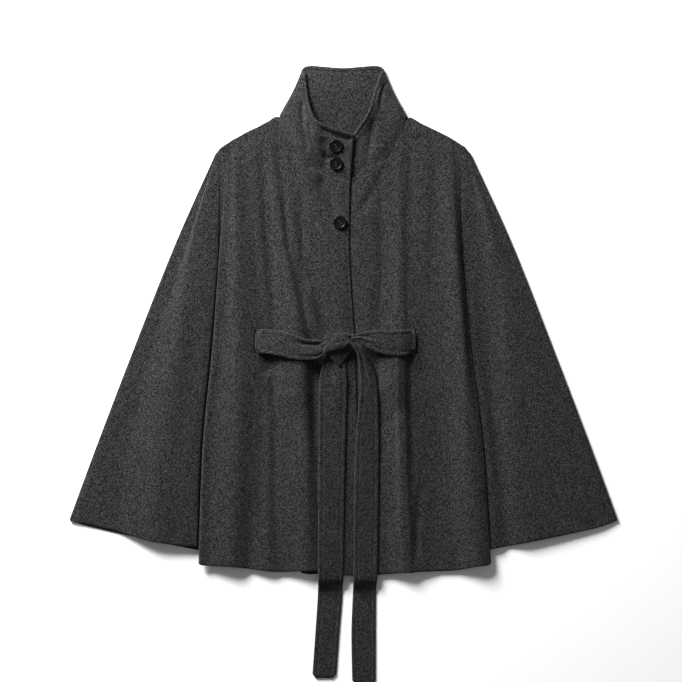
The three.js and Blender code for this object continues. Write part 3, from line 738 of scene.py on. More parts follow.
# Topstitched grooves: how far in from the edge, how wide and how deep
GROOVE = SimpleNamespace(inset=6.2, width=1.35, depth=0.7, rim=2.6, swell=0.12)


def edge_press(distance, strength=1.0):
    """How far cloth sinks in along a topstitched edge, and swells between the stitches and the edge."""
    sunk = GROOVE.depth * bump(distance - GROOVE.inset, GROOVE.width)
    swollen = GROOVE.swell * bump(distance - GROOVE.rim, GROOVE.rim * 0.8)
    return (sunk - swollen) * strength


def strip_surface(table):
    """The middle surface of the belt's worn length, in millimetres: row 0 is its upper edge."""
    grid = lofted(
        read_table(BELT_COLUMNS, table),
        lambda place, share: [place.x, place.topY + (place.bottomY - place.topY) * share, place.z],
        STRIP_ROWS, STRIP_FINENESS)
    x, z = grid[..., 0], grid[..., 2]
    share = np.linspace(0, 1, STRIP_ROWS + 1)[:, None]
    lift = pucker_lift(share, x - KNOT_LEFT_X, LEFT_PUCKERS) * (x > 0)
    lift += pucker_lift(share, KNOT_RIGHT_X - x, RIGHT_PUCKERS) * (x < 0)
    lift += BELT.soft * waviness(grid * MM, BELT.soft_size, 2.2)
    grid[..., 2] += lift * fade(z, *BELT.free)
    rounding = BELT.rounding * (2 * share - 1) ** 6 * fade(z, *BELT.lip)
    grid[..., 0] += rounding * (fade(-x, *BELT.right_slit) - fade(x, *BELT.left_slit))
    return grid


def tail_grid(places):
    """A grid through places that each have a left and a right end, in millimetres."""
    return lofted(
        places, lambda place, share: [place.leftX + (place.rightX - place.leftX) * share, place.y, place.z],
        STRIP_ROWS, STRIP_FINENESS).transpose(1, 0, 2)


def tail_surface(table, seed, tilt):
    """The middle surface of a loose belt end, in millimetres: row 0 is at the knot."""
    grid = tail_grid(read_table(TAIL_COLUMNS, table))
    share = np.linspace(0, 1, STRIP_ROWS + 1)[None, :]
    down = reach(grid, 0)
    lift = pucker_lift(share, down, TAIL_PUCKERS) + TAIL.soft * waviness(grid * MM, TAIL.soft_size, seed)
    lift += tilt * (0.5 - share) * fade(down, *TAIL.tilt)
    free = fade(grid[..., 2], *TAIL.free)
    grid[..., 2] = np.maximum(grid[..., 2] + lift * free, np.minimum(grid[..., 2], TAIL.lowest))
    beyond = np.clip(TAIL.corner - reach(grid, 0, True), 0, None)
    inward = TAIL.corner - np.sqrt(np.clip(TAIL.corner**2 - beyond**2, 0, None))
    middle = grid[:, STRIP_ROWS // 2, 0][:, None]
    side = (grid[..., 0] - middle) / np.abs(grid[:, -1:, 0] - middle)
    grid[..., 0] -= inward * side
    return grid


# Materials

def set_inputs(tree, node, inputs):
    """Sets or links a node's inputs, each by its name or number."""
    for key, value in inputs.items():
        if isinstance(value, bpy.types.NodeSocket):
            tree.links.new(value, node.inputs[key])
        else:
            node.inputs[key].default_value = value


def add_node(tree, kind, inputs=None, **settings):
    """Adds a node, sets its properties, and sets or links its inputs."""
    added = tree.nodes.new(kind)
    for key, value in settings.items():
        setattr(added, key, value)
    set_inputs(tree, added, inputs or {})
    return added


def calculate(tree, operation, *values):
    """The result of a math node."""
    return add_node(tree, "ShaderNodeMath", dict(enumerate(values)), operation=operation).outputs[0]


def spread(tree, value, start, end):
    """A value from 0 to 1, turned into one from start to end."""
    return add_node(tree, "ShaderNodeMapRange", {"Value": value, "To Min": start, "To Max": end}).outputs[0]


def object_place(tree):
    """The place on the object, in metres."""
    return add_node(tree, "ShaderNodeTexCoord").outputs["Object"]


def noise_at(tree, place, scale, detail, roughness=0.5):
    """A noise texture node."""
    return add_node(
        tree, "ShaderNodeTexNoise",
        {"Vector": place, "Scale": scale, "Detail": detail, "Roughness": roughness})


def bumps(tree, height, distance, strength=1.0):
    """The normals of a bumpy surface."""
    return add_node(
        tree, "ShaderNodeBump", {"Height": height, "Distance": distance, "Strength": strength}).outputs[0]


def shaded(colour, shade):
    """A colour made darker or lighter, with its alpha."""
    return [c * shade for c in colour] + [1]


def mixed(tree, factor, first, second):
    """Two colours mixed by a factor."""
    return add_node(
        tree, "ShaderNodeMix", {"Factor": factor, "A": first, "B": second}, data_type="RGBA"
    ).outputs["Result"]


def drawn_out(tree, place, turn, stretch):
    """Places turned about Z and stretched along Y, so that a texture there runs one way."""
    return add_node(
        tree, "ShaderNodeMapping",
        {"Vector": place, "Rotation": (0, 0, turn), "Scale": (1.0, stretch, 1.0)}).outputs[0]


def fibre_layer(tree, place, turn, stretch, scale, detail):
    """Noise drawn out one way into short fibres."""
    return noise_at(tree, drawn_out(tree, place, turn, stretch), scale, detail, 0.65).outputs[0]


# The melange: how much the fibres swirl, how fine its clumps are, how much clumps and clouds count beside
# the fibres, and how their sum becomes the share of light wool
FLECK = SimpleNamespace(
    swirl_scale=160.0, swirl=0.004, clump_scale=1180.0, clumps=2.4, clouds=0.3,
    middle=2.55, contrast=1.15, darkest=-0.3, lightest=0.4, power=1.8)


def melange_group():
    """Felted wool of dark and light fibres: its colour, the height of its nap, and its roughness."""
    tree = bpy.data.node_groups.new("felted_melange", "ShaderNodeTree")
    for label, way, kind in (
        ("Dark Fibre", "INPUT", "NodeSocketColor"),
        ("Light Fibre", "INPUT", "NodeSocketColor"),
        ("Color", "OUTPUT", "NodeSocketColor"),
        ("Height", "OUTPUT", "NodeSocketFloat"),
        ("Roughness", "OUTPUT", "NodeSocketFloat"),
    ):
        tree.interface.new_socket(label, in_out=way, socket_type=kind)
    given = tree.nodes.new("NodeGroupInput").outputs
    result = tree.nodes.new("NodeGroupOutput")
    place = object_place(tree)
    swirl = noise_at(tree, place, FLECK.swirl_scale, 2.0).outputs["Color"]
    centred = add_node(tree, "ShaderNodeVectorMath", {0: swirl, 1: (0.5,) * 3}, operation="SUBTRACT")
    swirled = add_node(
        tree, "ShaderNodeVectorMath", {0: centred.outputs[0], 1: (FLECK.swirl,) * 3, 2: place},
        operation="MULTIPLY_ADD").outputs[0]
    slanting = fibre_layer(tree, swirled, 0.7, 0.5, 1250.0, 1.0)
    crossing = fibre_layer(tree, swirled, -0.9, 0.5, 1150.0, 1.0)
    drawn = drawn_out(tree, swirled, 0.5, 0.8)
    cells = add_node(tree, "ShaderNodeTexVoronoi", {"Vector": drawn, "Scale": FLECK.clump_scale})
    clumps = add_node(tree, "ShaderNodeSeparateColor", {"Color": cells.outputs["Color"]}).outputs[0]
    cloudy = fibre_layer(tree, place, 0, 0.6, 60.0, 3.0)
    nap = calculate(tree, "ADD", slanting, crossing)
    fleck = calculate(tree, "MULTIPLY_ADD", clumps, FLECK.clumps, nap)
    fleck = calculate(tree, "MULTIPLY_ADD", cloudy, FLECK.clouds, fleck)
    fleck = calculate(tree, "SUBTRACT", fleck, FLECK.middle)
    fleck = calculate(tree, "MULTIPLY", fleck, FLECK.contrast)
    share = add_node(
        tree, "ShaderNodeMapRange",
        {"Value": fleck, "From Min": FLECK.darkest, "From Max": FLECK.lightest}).outputs[0]
    light = calculate(tree, "POWER", share, FLECK.power)
    set_inputs(tree, result, {
        "Color": mixed(tree, light, given["Dark Fibre"], given["Light Fibre"]),
        "Height": nap,
        "Roughness": spread(tree, share, 0.98, 0.86),
    })
    return tree


def new_material(name):
    """An empty node material. Returns it, its tree and its Principled shader."""
    material = bpy.data.materials.new(name)
    material.use_nodes = True
    tree = material.node_tree
    tree.nodes.clear()
    shader = tree.nodes.new("ShaderNodeBsdfPrincipled")
    output = tree.nodes.new("ShaderNodeOutputMaterial")
    tree.links.new(shader.outputs[0], output.inputs[0])
    return material, tree, shader


def wool_material(name, shade):
    """Charcoal felted wool. shade scales its colour; below 1 it is painted shade, standing in for the shadow
    that the knot and the coat's folds cast on the belt.
    """
    cloth = bpy.context.scene.coat_cloth
    material, tree, shader = new_material(name)
    fibres = {
        "Dark Fibre": shaded(cloth.dark_wool, shade),
        "Light Fibre": shaded(cloth.light_wool, shade),
    }
    group = bpy.data.node_groups.get("felted_melange") or melange_group()
    melange = add_node(tree, "ShaderNodeGroup", fibres, node_tree=group).outputs
    set_inputs(tree, shader, {
        "Base Color": melange["Color"],
        "Roughness": melange["Roughness"],
        "Normal": bumps(tree, melange["Height"], 0.0007, 0.9),
        "Specular IOR Level": 0.2,
        "Sheen Weight": 0.06,
        "Sheen Roughness": 0.5,
    })
    return material


def button_material():
    """Glossy black button stock with a faint cloudiness and fine wear."""
    material, tree, shader = new_material("button_gloss")
    place = object_place(tree)
    cloud = noise_at(tree, place, 240.0, 3.0).outputs[0]
    wear = noise_at(tree, place, 1900.0, 4.0).outputs[0]
    deep = bpy.context.scene.coat_trim.button_colour
    set_inputs(tree, shader, {
        "Base Color": mixed(tree, cloud, shaded(deep, 1), shaded(deep, 2.6)),
        "Roughness": spread(tree, wear, 0.22, 0.4),
        "Normal": bumps(tree, cloud, 0.0002, 0.5),
        "Specular IOR Level": 0.09,
        "Coat Weight": 0.02,
        "Coat Roughness": 0.1,
    })
    return material


def thread_material(name, shade):
    """Twisted charcoal sewing thread."""
    material, tree, shader = new_material(name)
    turned = add_node(
        tree, "ShaderNodeMapping", {"Vector": object_place(tree), "Rotation": (0.4, 0.3, 0.8)})
    wave = {"Vector": turned.outputs[0], "Scale": 700.0, "Distortion": 1.5}
    twist = add_node(tree, "ShaderNodeTexWave", wave).outputs[0]
    base = bpy.context.scene.coat_trim.thread_colour
    set_inputs(tree, shader, {
        "Base Color": mixed(tree, twist, shaded(base, 0.6 * shade), shaded(base, 1.4 * shade)),
        "Roughness": 0.6,
        "Normal": bumps(tree, twist, 0.0001),
    })
    return material


def floor_material():
    """Pale seamless paper."""
    material, tree, shader = new_material("pale_paper")
    grain = noise_at(tree, object_place(tree), 300.0, 4.0).outputs[0]
    base = bpy.context.scene.coat_stage.floor_colour
    set_inputs(tree, shader, {
        "Base Color": mixed(tree, grain, shaded(base, 0.99), shaded(base, 1)),
        "Roughness": 0.9,
    })
    return material


MAKERS = {
    "wool": lambda: wool_material("charcoal_wool", 1.0),
    # The second wool is a darker copy: painted shade for the shadow that the knot and the coat's folds cast
    # on the belt's ends and the knot's corner.
    "belt_painted_shade_wool": lambda: wool_material("charcoal_belt_painted_shade_wool", 0.84),
    "button": button_material,
    "thread": lambda: thread_material("sewing_thread", 1.0),
    "button_thread": lambda: thread_material("button_sewing_thread", 0.25),
    "floor": floor_material,
}
made_materials = {}


def material_for(slot):
    """The material of a slot, made once."""
    if slot not in made_materials:
        made_materials[slot] = MAKERS[slot]()
    return made_materials[slot]


# The knot: rings from its right end to its left, each an oval across the belt

KNOT_COLUMNS = "x y z halfY halfZ"
KNOT_RINGS = {
    "right_mouth": [-39, 46, 25.6, 12, 1.8],
    "right_gather": [-32, 50.5, 26, 15, 3.2],
    "right_wrap": [-23, 56, 26, 15, 4.8],
    "middle_wrap": [-9, 58.5, 26, 14.5, 5.4],
    "left_wrap": [4, 60.5, 26, 13, 5],
    "left_gather": [11, 63, 26, 9.5, 4],
    "left_mouth": [15, 63, 26, 4.5, 2.2],
}
KNOT_CREASES = {
    "left_tip_upper": [17, 64, -12, 72, -2, 3, -1.6],
    "left_tip_lower": [17, 61, -18, 54, 2, 3, -1.2],
    "right_upper": [-42, 56, -20, 60, -2, 3, -1.5],
    "right_lower": [-42, 40, -27, 54, -2, 2.6, -1.4],
    "across_front": [-6, 80, -21, 44, 3, 3.5, -0.7],
    "belly": [-14, 62, 4, 64, 0, 8, 0.7],
}
KNOT_AROUND = 120
KNOT_ALONG = 90
KNOT = SimpleNamespace(soft=0.5, soft_size=0.012, fullness=0.75, right_end=-0.5, left_end=0.8)

# The corner of the belt that shows below the knot, as rows from under the knot down to its point, and how
# much it tilts and is pressed along its sides
CORNER = SimpleNamespace(tilt=3, press=0.3)
CORNER_COLUMNS = "y leftX rightX z cuts"
KNOT_CORNER = {
    "under_knot": [52, -28, 8, 22.4, 1],
    "widest": [42, -29, 11, 21.2, 1],
    "lower": [31, -20, 3.5, 19.6, 1],
    "near_point": [23, -11, -1, 18.6, 1],
    "point": [17.5, -6, -4, 18, 1],
}


def ring_quads(rings, sides):
    """The faces between closed rings of points."""
    faces = []
    for k in range(rings - 1):
        for j in range(sides):
            a, b = k * sides + j, k * sides + (j + 1) % sides
            faces.append((a, b, b + sides, a + sides))
    return faces


def ring_ends(rings, sides):
    """The two faces that close a stack of rings."""
    return [tuple(reversed(range(sides))), tuple(range((rings - 1) * sides, rings * sides))]


def squared(wave):
    """A sine or cosine made fuller, for an oval with squarer shoulders."""
    return np.sign(wave) * np.abs(wave) ** KNOT.fullness


def knot_mesh():
    """Points and faces of the knot, with the furrows of its wound layers."""
    rings = read_table(KNOT_COLUMNS, KNOT_RINGS)
    at = np.linspace(0, len(rings) - 1, KNOT_ALONG)
    sizes = smooth(np.arange(len(rings)), [[r.x, r.y, r.z, r.halfY, r.halfZ] for r in rings], at)
    turn = np.linspace(0, 2 * math.pi, KNOT_AROUND, endpoint=False)
    upward = squared(np.sin(turn))
    x = np.repeat(sizes[:, :1], KNOT_AROUND, axis=1)
    y = sizes[:, 1:2] + sizes[:, 3:4] * squared(np.cos(turn))
    z = sizes[:, 2:3] + sizes[:, 4:5] * upward
    uneven = KNOT.soft * waviness(np.stack([x, y, z], axis=2) * MM, KNOT.soft_size, 5.5)
    lift = crease_lift(x, y, KNOT_CREASES) + uneven
    z = z + lift * np.clip(upward, 0, 1)
    points = np.stack([x, y, z], axis=2).reshape(-1, 3).tolist()
    faces = ring_quads(KNOT_ALONG, KNOT_AROUND)
    first, last = len(points), len(points) + 1
    points.append((sizes[0][:3] + [KNOT.right_end, 0, 0]).tolist())
    points.append((sizes[-1][:3] + [KNOT.left_end, 0, 0]).tolist())
    end = (KNOT_ALONG - 1) * KNOT_AROUND
    for j in range(KNOT_AROUND):
        following = (j + 1) % KNOT_AROUND
        faces.append((following, j, first))
        faces.append((end + j, end + following, last))
    return np.array(points) * MM, faces


# Buttons: dished discs with four holes

BUTTON = SimpleNamespace(
    radius=11.4, thickness=3.4, dish=0.9, slope=2.6, rim=1.8, rim_drop=1.3, middle=0.15,
    hole_radius=1.15, hole_spacing=4.4, hole_depth=2.1, sides=96, rings=34)

# A button's rounded edge, as how far in from its radius each ring lies and, below, how high
BUTTON_UPPER_EDGE = [0.2, 0]
BUTTON_LOWER_EDGE = [(0, 1.1), (0.4, 0.4), (1.4, 0)]
BUTTON_COLUMNS = "x y z lean turn"
BUTTONS = {
    "button_top": [-12, 389.6, 17.4, 0.14, 0.5],
    "button_middle": [-11.4, 359.8, 15, 0.04, 0.1],
    "button_breast": [-5.4, 260.4, 15.4, 0, 0.7],
}


def button_height(out, x, y):
    """The height of a button's upper face at a distance from its middle, in millimetres."""
    inner = BUTTON.radius - BUTTON.rim
    dished = BUTTON.thickness - BUTTON.dish * (1 - fade(out, inner - BUTTON.slope, inner))
    edge = BUTTON.rim_drop * np.clip((out - inner) / BUTTON.rim, 0, 1) ** 3
    holes = np.zeros_like(out)
    for side_x in (-1, 1):
        for side_y in (-1, 1):
            away = np.hypot(x - side_x * BUTTON.hole_spacing / 2, y - side_y * BUTTON.hole_spacing / 2)
            holes = np.maximum(holes, 1 - fade(away, BUTTON.hole_radius * 0.75, BUTTON.hole_radius * 1.2))
    return dished - edge - BUTTON.hole_depth * holes


def button_mesh(button):
    """Points and faces of a button, leaning with the cloth below it."""
    radius = BUTTON.radius
    outs = np.linspace(BUTTON.middle, radius - 0.5, BUTTON.rings)
    outs = np.append(outs, [radius - inset for inset in BUTTON_UPPER_EDGE])
    angles = np.linspace(0, 2 * math.pi, BUTTON.sides, endpoint=False)
    out, angle = np.meshgrid(outs, angles, indexing="ij")
    x, y = out * np.cos(angle), out * np.sin(angle)
    top = np.stack([x, y, button_height(out, x, y)], axis=2)
    low = [(radius - inset, height) for inset, height in BUTTON_LOWER_EDGE] + [(BUTTON.middle, 0)]
    under = np.array([[[o * math.cos(a), o * math.sin(a), h] for a in angles] for o, h in low])
    rings = np.concatenate([top, under])
    faces = [(a, d, c, b) for a, b, c, d in ring_quads(len(rings), BUTTON.sides)]
    faces += [end[::-1] for end in ring_ends(len(rings), BUTTON.sides)]
    return stand_button(rings.reshape(-1, 3), button), faces


def stand_button(points, button):
    """Moves points of a button to its place on the coat, in metres."""
    cos, sin = math.cos(button.turn), math.sin(button.turn)
    x, y = points[..., 0] * cos - points[..., 1] * sin, points[..., 0] * sin + points[..., 1] * cos
    z = points[..., 2] * math.cos(button.lean) + y * math.sin(button.lean)
    y = y * math.cos(button.lean) - points[..., 2] * math.sin(button.lean)
    return np.stack([x + button.x, y + button.y, z + button.z], axis=-1) * MM


def tube(points, radius, sides=7):
    """Points and faces of a closed tube along points."""
    ahead = unit(np.gradient(points, axis=0))
    aside = unit(np.cross(ahead, [0.3, 0.2, 1.0]))
    above = np.cross(aside, ahead)
    angles = np.linspace(0, 2 * math.pi, sides, endpoint=False)
    rings = [
        p + radius * (math.cos(t) * a + math.sin(t) * u)
        for p, a, u in zip(points, aside, above) for t in angles
    ]
    return rings, ring_quads(len(points), sides) + ring_ends(len(points), sides)


# The strands over a button: how far they lie apart, how deep they start and how high they arch
STRAND = SimpleNamespace(apart=0.42, depth=1.2, arch=1.75, points=9)


def button_thread(button):
    """Points and faces of the strands that cross a button from hole to hole."""
    half = BUTTON.hole_spacing / 2
    share = np.linspace(-1, 1, STRAND.points)
    arch = BUTTON.thickness - BUTTON.dish - STRAND.depth + STRAND.arch * (1 - share**4)
    points, faces = [], []
    for side in (-1, 1):
        for strand in (-STRAND.apart, 0, STRAND.apart):
            y = np.full(STRAND.points, side * half + strand)
            line = stand_button(np.stack([share * half, y, arch + 0.1 * strand], axis=1), button)
            rings, new = tube(line, bpy.context.scene.coat_trim.thread)
            faces += [tuple(k + len(points) for k in face) for face in new]
            points += rings
    return points, faces


# Sewing: one geometry node tree lays a stitch at every pitch along a path

def stitch_tree():
    """A node tree that turns a path's edges into a row of stitches."""
    tree = bpy.data.node_groups.new("stitches_along_path", "GeometryNodeTree")
    tree.interface.new_socket("Path", in_out="INPUT", socket_type="NodeSocketGeometry")
    for label in ("Pitch", "Length", "Radius"):
        tree.interface.new_socket(label, in_out="INPUT", socket_type="NodeSocketFloat")
    tree.interface.new_socket("Thread", in_out="INPUT", socket_type="NodeSocketMaterial")
    tree.interface.new_socket("Stitches", in_out="OUTPUT", socket_type="NodeSocketGeometry")
    given = tree.nodes.new("NodeGroupInput").outputs
    result = tree.nodes.new("NodeGroupOutput")

    def step(kind, inputs, output=0, **settings):
        return add_node(tree, kind, inputs, **settings).outputs[output]

    curve = step("GeometryNodeMeshToCurve", {"Mesh": given["Path"]})
    pitched = {"Curve": curve, "Length": given["Pitch"]}
    spots = add_node(tree, "GeometryNodeCurveToPoints", pitched, mode="LENGTH").outputs
    turned = step("FunctionNodeAlignRotationToVector", {"Vector": spots["Tangent"]}, axis="Z")
    half = calculate(tree, "MULTIPLY", given["Length"], 0.5)
    size = step("ShaderNodeCombineXYZ", {"X": given["Radius"], "Y": given["Radius"], "Z": half})
    bead = step("GeometryNodeMeshUVSphere", {"Segments": 6, "Rings": 4, "Radius": 1.0}, "Mesh")
    stitch = step("GeometryNodeTransform", {"Geometry": bead, "Scale": size})
    placed = step(
        "GeometryNodeInstanceOnPoints", {"Points": spots["Points"], "Instance": stitch, "Rotation": turned})
    real = step("GeometryNodeRealizeInstances", {"Geometry": placed})
    rounded = step("GeometryNodeSetShadeSmooth", {"Geometry": real})
    finished = step("GeometryNodeSetMaterial", {"Geometry": rounded, "Material": given["Thread"]})
    tree.links.new(finished, result.inputs[0])
    return tree


def sew(name, lines):
    """Rows of stitches along lines of points in metres, as one plain mesh."""
    trim = bpy.context.scene.coat_trim
    points, edges = [], []
    for line in lines:
        edges += [(len(points) + k, len(points) + k + 1) for k in range(len(line) - 1)]
        points += np.asarray(line).tolist()
    mesh = bpy.data.meshes.new(name + "_path")
    mesh.from_pydata(points, edges, [])
    path = add_object(name + "_path", mesh)
    rows = path.modifiers.new("stitches", "NODES")
    rows.node_group = bpy.data.node_groups.get("stitches_along_path") or stitch_tree()
    values = {
        "Pitch": trim.pitch, "Length": trim.stitch, "Radius": trim.thread, "Thread": material_for("thread")}
    for item in rows.node_group.interface.items_tree:
        if item.in_out == "INPUT" and item.name in values:
            rows[item.identifier] = values[item.name]
    graph = bpy.context.evaluated_depsgraph_get()
    sewn = bpy.data.meshes.new_from_object(path.evaluated_get(graph))
    bpy.data.objects.remove(path)
    if not sewn.polygons:
        raise RuntimeError(f"{name}: no stitches were made")
    sewn.name = name
    return settle(add_object(name, sewn), "thread")


# Stage: the floor's half width, and the light's place, aim and size, in metres

FLOOR_REACH = 6.0
KEY_LIGHT = SimpleNamespace(place=(-1.5, 2.1, 1.3), aim=(0, 0.1, 0), size=1.2)


class COAT_OT_stage(bpy.types.Operator):
    """Adds the floor, the light and the camera"""
    bl_idname = "coat.stage"
    bl_label = "Stage"

    def execute(self, context):
        stage = context.scene.coat_stage
        context.scene.view_settings.view_transform = "Standard"
        mesh = bpy.data.meshes.new("floor")
        corners = [(x * FLOOR_REACH, y * FLOOR_REACH, 0) for x, y in ((-1, -1), (1, -1), (1, 1), (-1, 1))]
        mesh.from_pydata(corners, [], [(0, 1, 2, 3)])
        mesh.materials.append(material_for("floor"))
        floor = add_object("floor", mesh)
        x, y = (v * MM for v in VIEW_MIDDLE_MM)
        camera = add_object("camera", bpy.data.cameras.new("camera"))
        camera.location = (x, y, stage.camera_height)
        camera.data.sensor_width = SENSOR_MM
        camera.data.lens = SENSOR_MM * stage.camera_height / (VIEW_WIDTH_MM * MM)
        camera.data.clip_end = 50
        context.scene.camera = camera
        light = bpy.data.lights.new("key_light", "AREA")
        light.shape = "SQUARE"
        light.size = KEY_LIGHT.size
        light.energy = stage.key_power
        lamp = add_object("key_light", light)
        lamp.location = KEY_LIGHT.place
        aim = Vector(KEY_LIGHT.aim) - Vector(KEY_LIGHT.place)
        lamp.rotation_euler = aim.to_track_quat("-Z", "Y").to_euler()
        world = bpy.data.worlds.new("studio")
        world.use_nodes = True
        sky = {"Color": (1, 1, 1, 1), "Strength": stage.sky}
        set_inputs(world.node_tree, world.node_tree.nodes["Background"], sky)
        context.scene.world = world
        return {"FINISHED"}


# The back: the height of its middle over the floor and its rounded edge, in metres
BACK = SimpleNamespace(height=0.00105, edge=0.0007)


class COAT_OT_back(bpy.types.Operator):
    """Makes the back, a flat panel under the fronts"""
    bl_idname = "coat.back"
    bl_label = "Back"

    def execute(self, context):
        side = [(p.x, p.y) for p in read_table(BACK_COLUMNS, BACK_SIDE)]
        hem = [(p.x, p.y) for p in read_table(BACK_COLUMNS, BACK_HEM)]
        outline = side + hem + [(-x, y) for x, y in reversed(side[1:])]
        build = bmesh.new()
        build.faces.new([build.verts.new((x * MM, y * MM, BACK.height)) for x, y in outline])
        bmesh.ops.triangulate(build, faces=build.faces[:])
        bmesh.ops.subdivide_edges(build, edges=build.edges[:], cuts=5, use_grid_fill=True)
        bmesh.ops.recalc_face_normals(build, faces=build.faces[:])
        if sum(f.normal.z for f in build.faces) < 0:
            bmesh.ops.reverse_faces(build, faces=build.faces[:])
        mesh = bpy.data.meshes.new("back_cloth")
        build.to_mesh(mesh)
        build.free()
        piece = add_object("back_cloth", mesh)
        wall = piece.modifiers.new("wall", "SOLIDIFY")
        wall.thickness = context.scene.coat_cloth.cloth
        wall.offset = 0
        edge = piece.modifiers.new("edge", "BEVEL")
        edge.width = BACK.edge
        edge.segments = 3
        edge.limit_method = "ANGLE"
        settle(piece, "wool")
        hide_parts("back")
        return {"FINISHED"}


# The hem along a wing's edge: how far in its seam lies, how wide and how deep it is pressed
WING_HEM = SimpleNamespace(inset=4.6, width=1.4, depth=0.45)

# How far the sewing lies over the middle of the fronts, the collar and the belt
SEWING_LIFT = SimpleNamespace(front=0.45, collar=1.5, belt=0.85)


class COAT_OT_fronts(bpy.types.Operator):
    """Makes the two fronts with their folds, pleats and belt slits"""
    bl_idname = "coat.fronts"
    bl_label = "Fronts"

    def execute(self, context):
        cloth = context.scene.coat_cloth
        right = (
            read_table(GUIDE_COLUMNS, RIGHT_WING)
            + pleat_guides(RIGHT_PLEAT, -1)
            + read_table(GUIDE_COLUMNS, RIGHT_BODY)
        )
        left = (
            read_table(GUIDE_COLUMNS, LEFT_BODY)
            + pleat_guides(LEFT_PLEAT, 1)
            + read_table(GUIDE_COLUMNS, LEFT_WING)
        )
        for name, node, guides, slit_x, seed, area in (
            ("front_right_cloth", "front_right", right, SLIT.right_x, 3.1, 0.301),
            ("front_left_cloth", "front_left", left, SLIT.left_x, 8.7, 0.304),
        ):
            grid = soften(front_surface(guides), seed, cloth.ripple)
            grid, gaps = cut_slit(grid, slit_x)
            overlaps = node == "front_right"
            press = WING_HEM.depth * bump(reach(grid, 1, not overlaps) - WING_HEM.inset, WING_HEM.width)
            if overlaps:
                press = press + 0.5 * edge_press(reach(grid, 1, True))
                sew("front_edge_sewing", [line_at(grid, 1, GROOVE.inset, True, SEWING_LIFT.front) * MM])
            piece = shell(name, grid * MM, cloth.cloth, "wool", gaps, press * MM)
            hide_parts(node)
        return {"FINISHED"}


class COAT_OT_collar(bpy.types.Operator):
    """Makes the stand collar with its rolled edge and its sewing"""
    bl_idname = "coat.collar"
    bl_label = "Collar"

    def execute(self, context):
        grid = collar_surface()
        top, base, lap = reach(grid, 0), reach(grid, 0, True), reach(grid, 1)
        press = COLLAR.top_press * edge_press(top) + COLLAR.band_press * (1 - fade(base, 0, COLLAR.band))
        press = press + edge_press(lap, COLLAR.lap_press) * fade(top, *COLLAR.lap_top)
        share = lap / lap[:, -1:]
        behind = (share > NECK_SEAM.within[0]) & (share < NECK_SEAM.within[1])
        seam = bump(grid[..., 0] - NECK_SEAM.x, NECK_SEAM.width) * behind
        press = press + NECK_SEAM.press * seam * (1 - fade(top, *NECK_SEAM.top))
        piece = shell("collar_band", grid * MM, context.scene.coat_cloth.collar, "wool", press=press * MM)
        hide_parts("collar")
        faces = (SEWING_LIFT.collar, -SEWING_LIFT.collar)
        sew("collar_sewing", [line_at(grid, 0, GROOVE.inset, False, lift) * MM for lift in faces])
        return {"FINISHED"}


class COAT_OT_belt(bpy.types.Operator):
    """Makes the belt's worn length, through both slits, with its sewing"""
    bl_idname = "coat.belt"
    bl_label = "Belt"

    def execute(self, context):
        grid = strip_surface(BELT_PATH)
        top, bottom = reach(grid, 0), reach(grid, 0, True)
        press = (edge_press(top) + edge_press(bottom)) * fade(top + bottom, *BELT.grooved)
        piece = shell("belt_band", grid * MM, context.scene.coat_cloth.belt, "wool", press=press * MM)
        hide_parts("belt")
        shown = grid[0, :, 2] > BELT.free[0]
        lines = [line_at(grid, 0, GROOVE.inset, end, SEWING_LIFT.belt) for end in (False, True)]
        for side, label in ((-1, "right"), (1, "left")):
            on = shown & (side * grid[0, :, 0] > BELT.sewn_from)
            sew("belt_sewing_" + label, [line[on] * MM for line in lines])
        return {"FINISHED"}


class COAT_OT_knot(bpy.types.Operator):
    """Makes the belt's knot and the corner that shows below it"""
    bl_idname = "coat.knot"
    bl_label = "Knot"

    def execute(self, context):
        piece = make_object("knot_wrap", *knot_mesh(), "wool")
        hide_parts("belt_knot")
        grid = tail_grid(read_table(CORNER_COLUMNS, KNOT_CORNER))
        grid[..., 2] += CORNER.tilt * (0.5 - np.linspace(0, 1, STRIP_ROWS + 1))
        press = edge_press(reach(grid, 1), CORNER.press) + edge_press(reach(grid, 1, True), CORNER.press)
        thickness = context.scene.coat_cloth.belt
        # The corner gets the darker wool, painted shade for the knot's shadow on it.
        corner = shell("knot_corner", grid * MM, thickness, "belt_painted_shade_wool", press=press * MM)
        return {"FINISHED"}


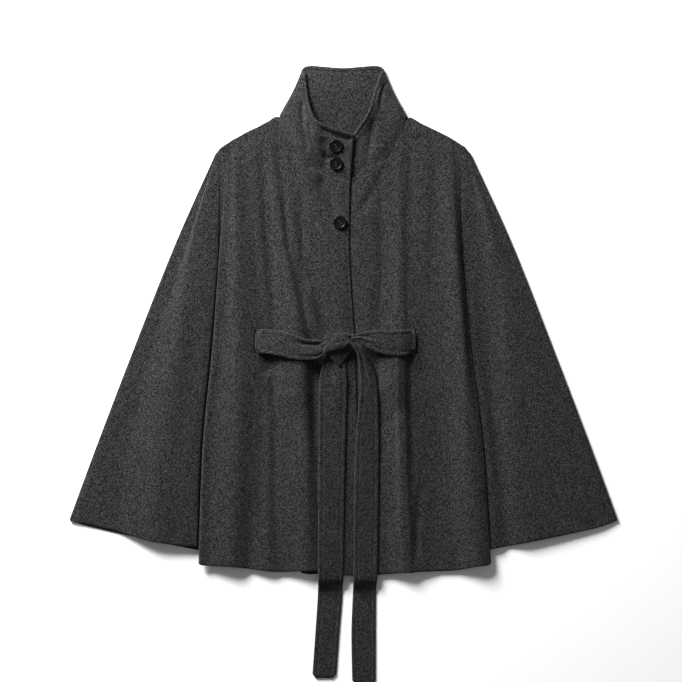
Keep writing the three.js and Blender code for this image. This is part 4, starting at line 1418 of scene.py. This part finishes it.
class COAT_OT_belt_ends(bpy.types.Operator):
    """Makes the two loose ends of the belt with their sewing"""
    bl_idname = "coat.belt_ends"
    bl_label = "Belt ends"

    def execute(self, context):
        inset = GROOVE.inset
        for name, node, table, seed, tilt, flat in (
            ("tail_right_band", "belt_tail_right", RIGHT_TAIL, 4.4, 3.2, (0.045, 0.56)),
            ("tail_left_band", "belt_tail_left", LEFT_TAIL, 9.1, 4.8, (0.039, 0.59)),
        ):
            grid = tail_surface(table, seed, tilt)
            left, right, end = reach(grid, 1), reach(grid, 1, True), reach(grid, 0, True)
            wide = fade(left + right, *TAIL.grooved)
            inside = fade(end, inset - 2, inset + 1)
            between = fade(np.minimum(left, right), inset - 2, inset + 1)
            press = (edge_press(left) + edge_press(right)) * wide * inside + edge_press(end) * between
            # The ends get the darker wool, painted shade for the shadow of the knot and the folds.
            piece = shell(name, grid * MM, context.scene.coat_cloth.belt, "belt_painted_shade_wool", press=press * MM)
            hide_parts(node)
            sewn = (wide[:, 0] > TAIL.sewn_from) & (end[:, 0] > inset)
            lines = [line_at(grid, 1, inset, far, SEWING_LIFT.belt)[sewn] for far in (False, True)]
            lines.append(line_at(grid, 0, inset, True, SEWING_LIFT.belt)[5:-5])
            sew(name.replace("band", "sewing"), [line * MM for line in lines])
        return {"FINISHED"}


class COAT_OT_buttons(bpy.types.Operator):
    """Makes the three buttons and the thread that holds them"""
    bl_idname = "coat.buttons"
    bl_label = "Buttons"

    def execute(self, context):
        for button in read_table(BUTTON_COLUMNS, BUTTONS):
            piece = make_object(button.name + "_disc", *button_mesh(button), "button")
            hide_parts(button.name)
            make_object(button.name + "_thread", *button_thread(button), "button_thread")
        return {"FINISHED"}


PIECES = [
    COAT_OT_stage,
    COAT_OT_back,
    COAT_OT_fronts,
    COAT_OT_collar,
    COAT_OT_belt,
    COAT_OT_knot,
    COAT_OT_belt_ends,
    COAT_OT_buttons,
]


class COAT_PT_pieces(bpy.types.Panel):
    """Lists the coat's pieces in the order they are made"""
    bl_idname = "COAT_PT_pieces"
    bl_label = "Wool Cape Coat"
    bl_space_type = "VIEW_3D"
    bl_region_type = "UI"
    bl_category = "Coat"

    def draw(self, context):
        for piece in PIECES:
            self.layout.operator(piece.bl_idname)


SETTINGS = {
    "coat_cloth": CoatClothSettings,
    "coat_trim": CoatTrimSettings,
    "coat_stage": CoatStageSettings,
}


def register():
    """Registers the settings, the operators and the panel."""
    for name, settings in SETTINGS.items():
        bpy.utils.register_class(settings)
        setattr(bpy.types.Scene, name, bpy.props.PointerProperty(type=settings))
    for piece in PIECES + [COAT_PT_pieces]:
        bpy.utils.register_class(piece)


def unregister():
    """Removes what register added."""
    for piece in reversed(PIECES + [COAT_PT_pieces]):
        bpy.utils.unregister_class(piece)
    for name, settings in SETTINGS.items():
        delattr(bpy.types.Scene, name)
        bpy.utils.unregister_class(settings)


def main():
    """Builds every piece in order."""
    register()
    for piece in PIECES:
        group, name = piece.bl_idname.split(".")
        getattr(getattr(bpy.ops, group), name)()


if __name__ == "__main__":
    main()
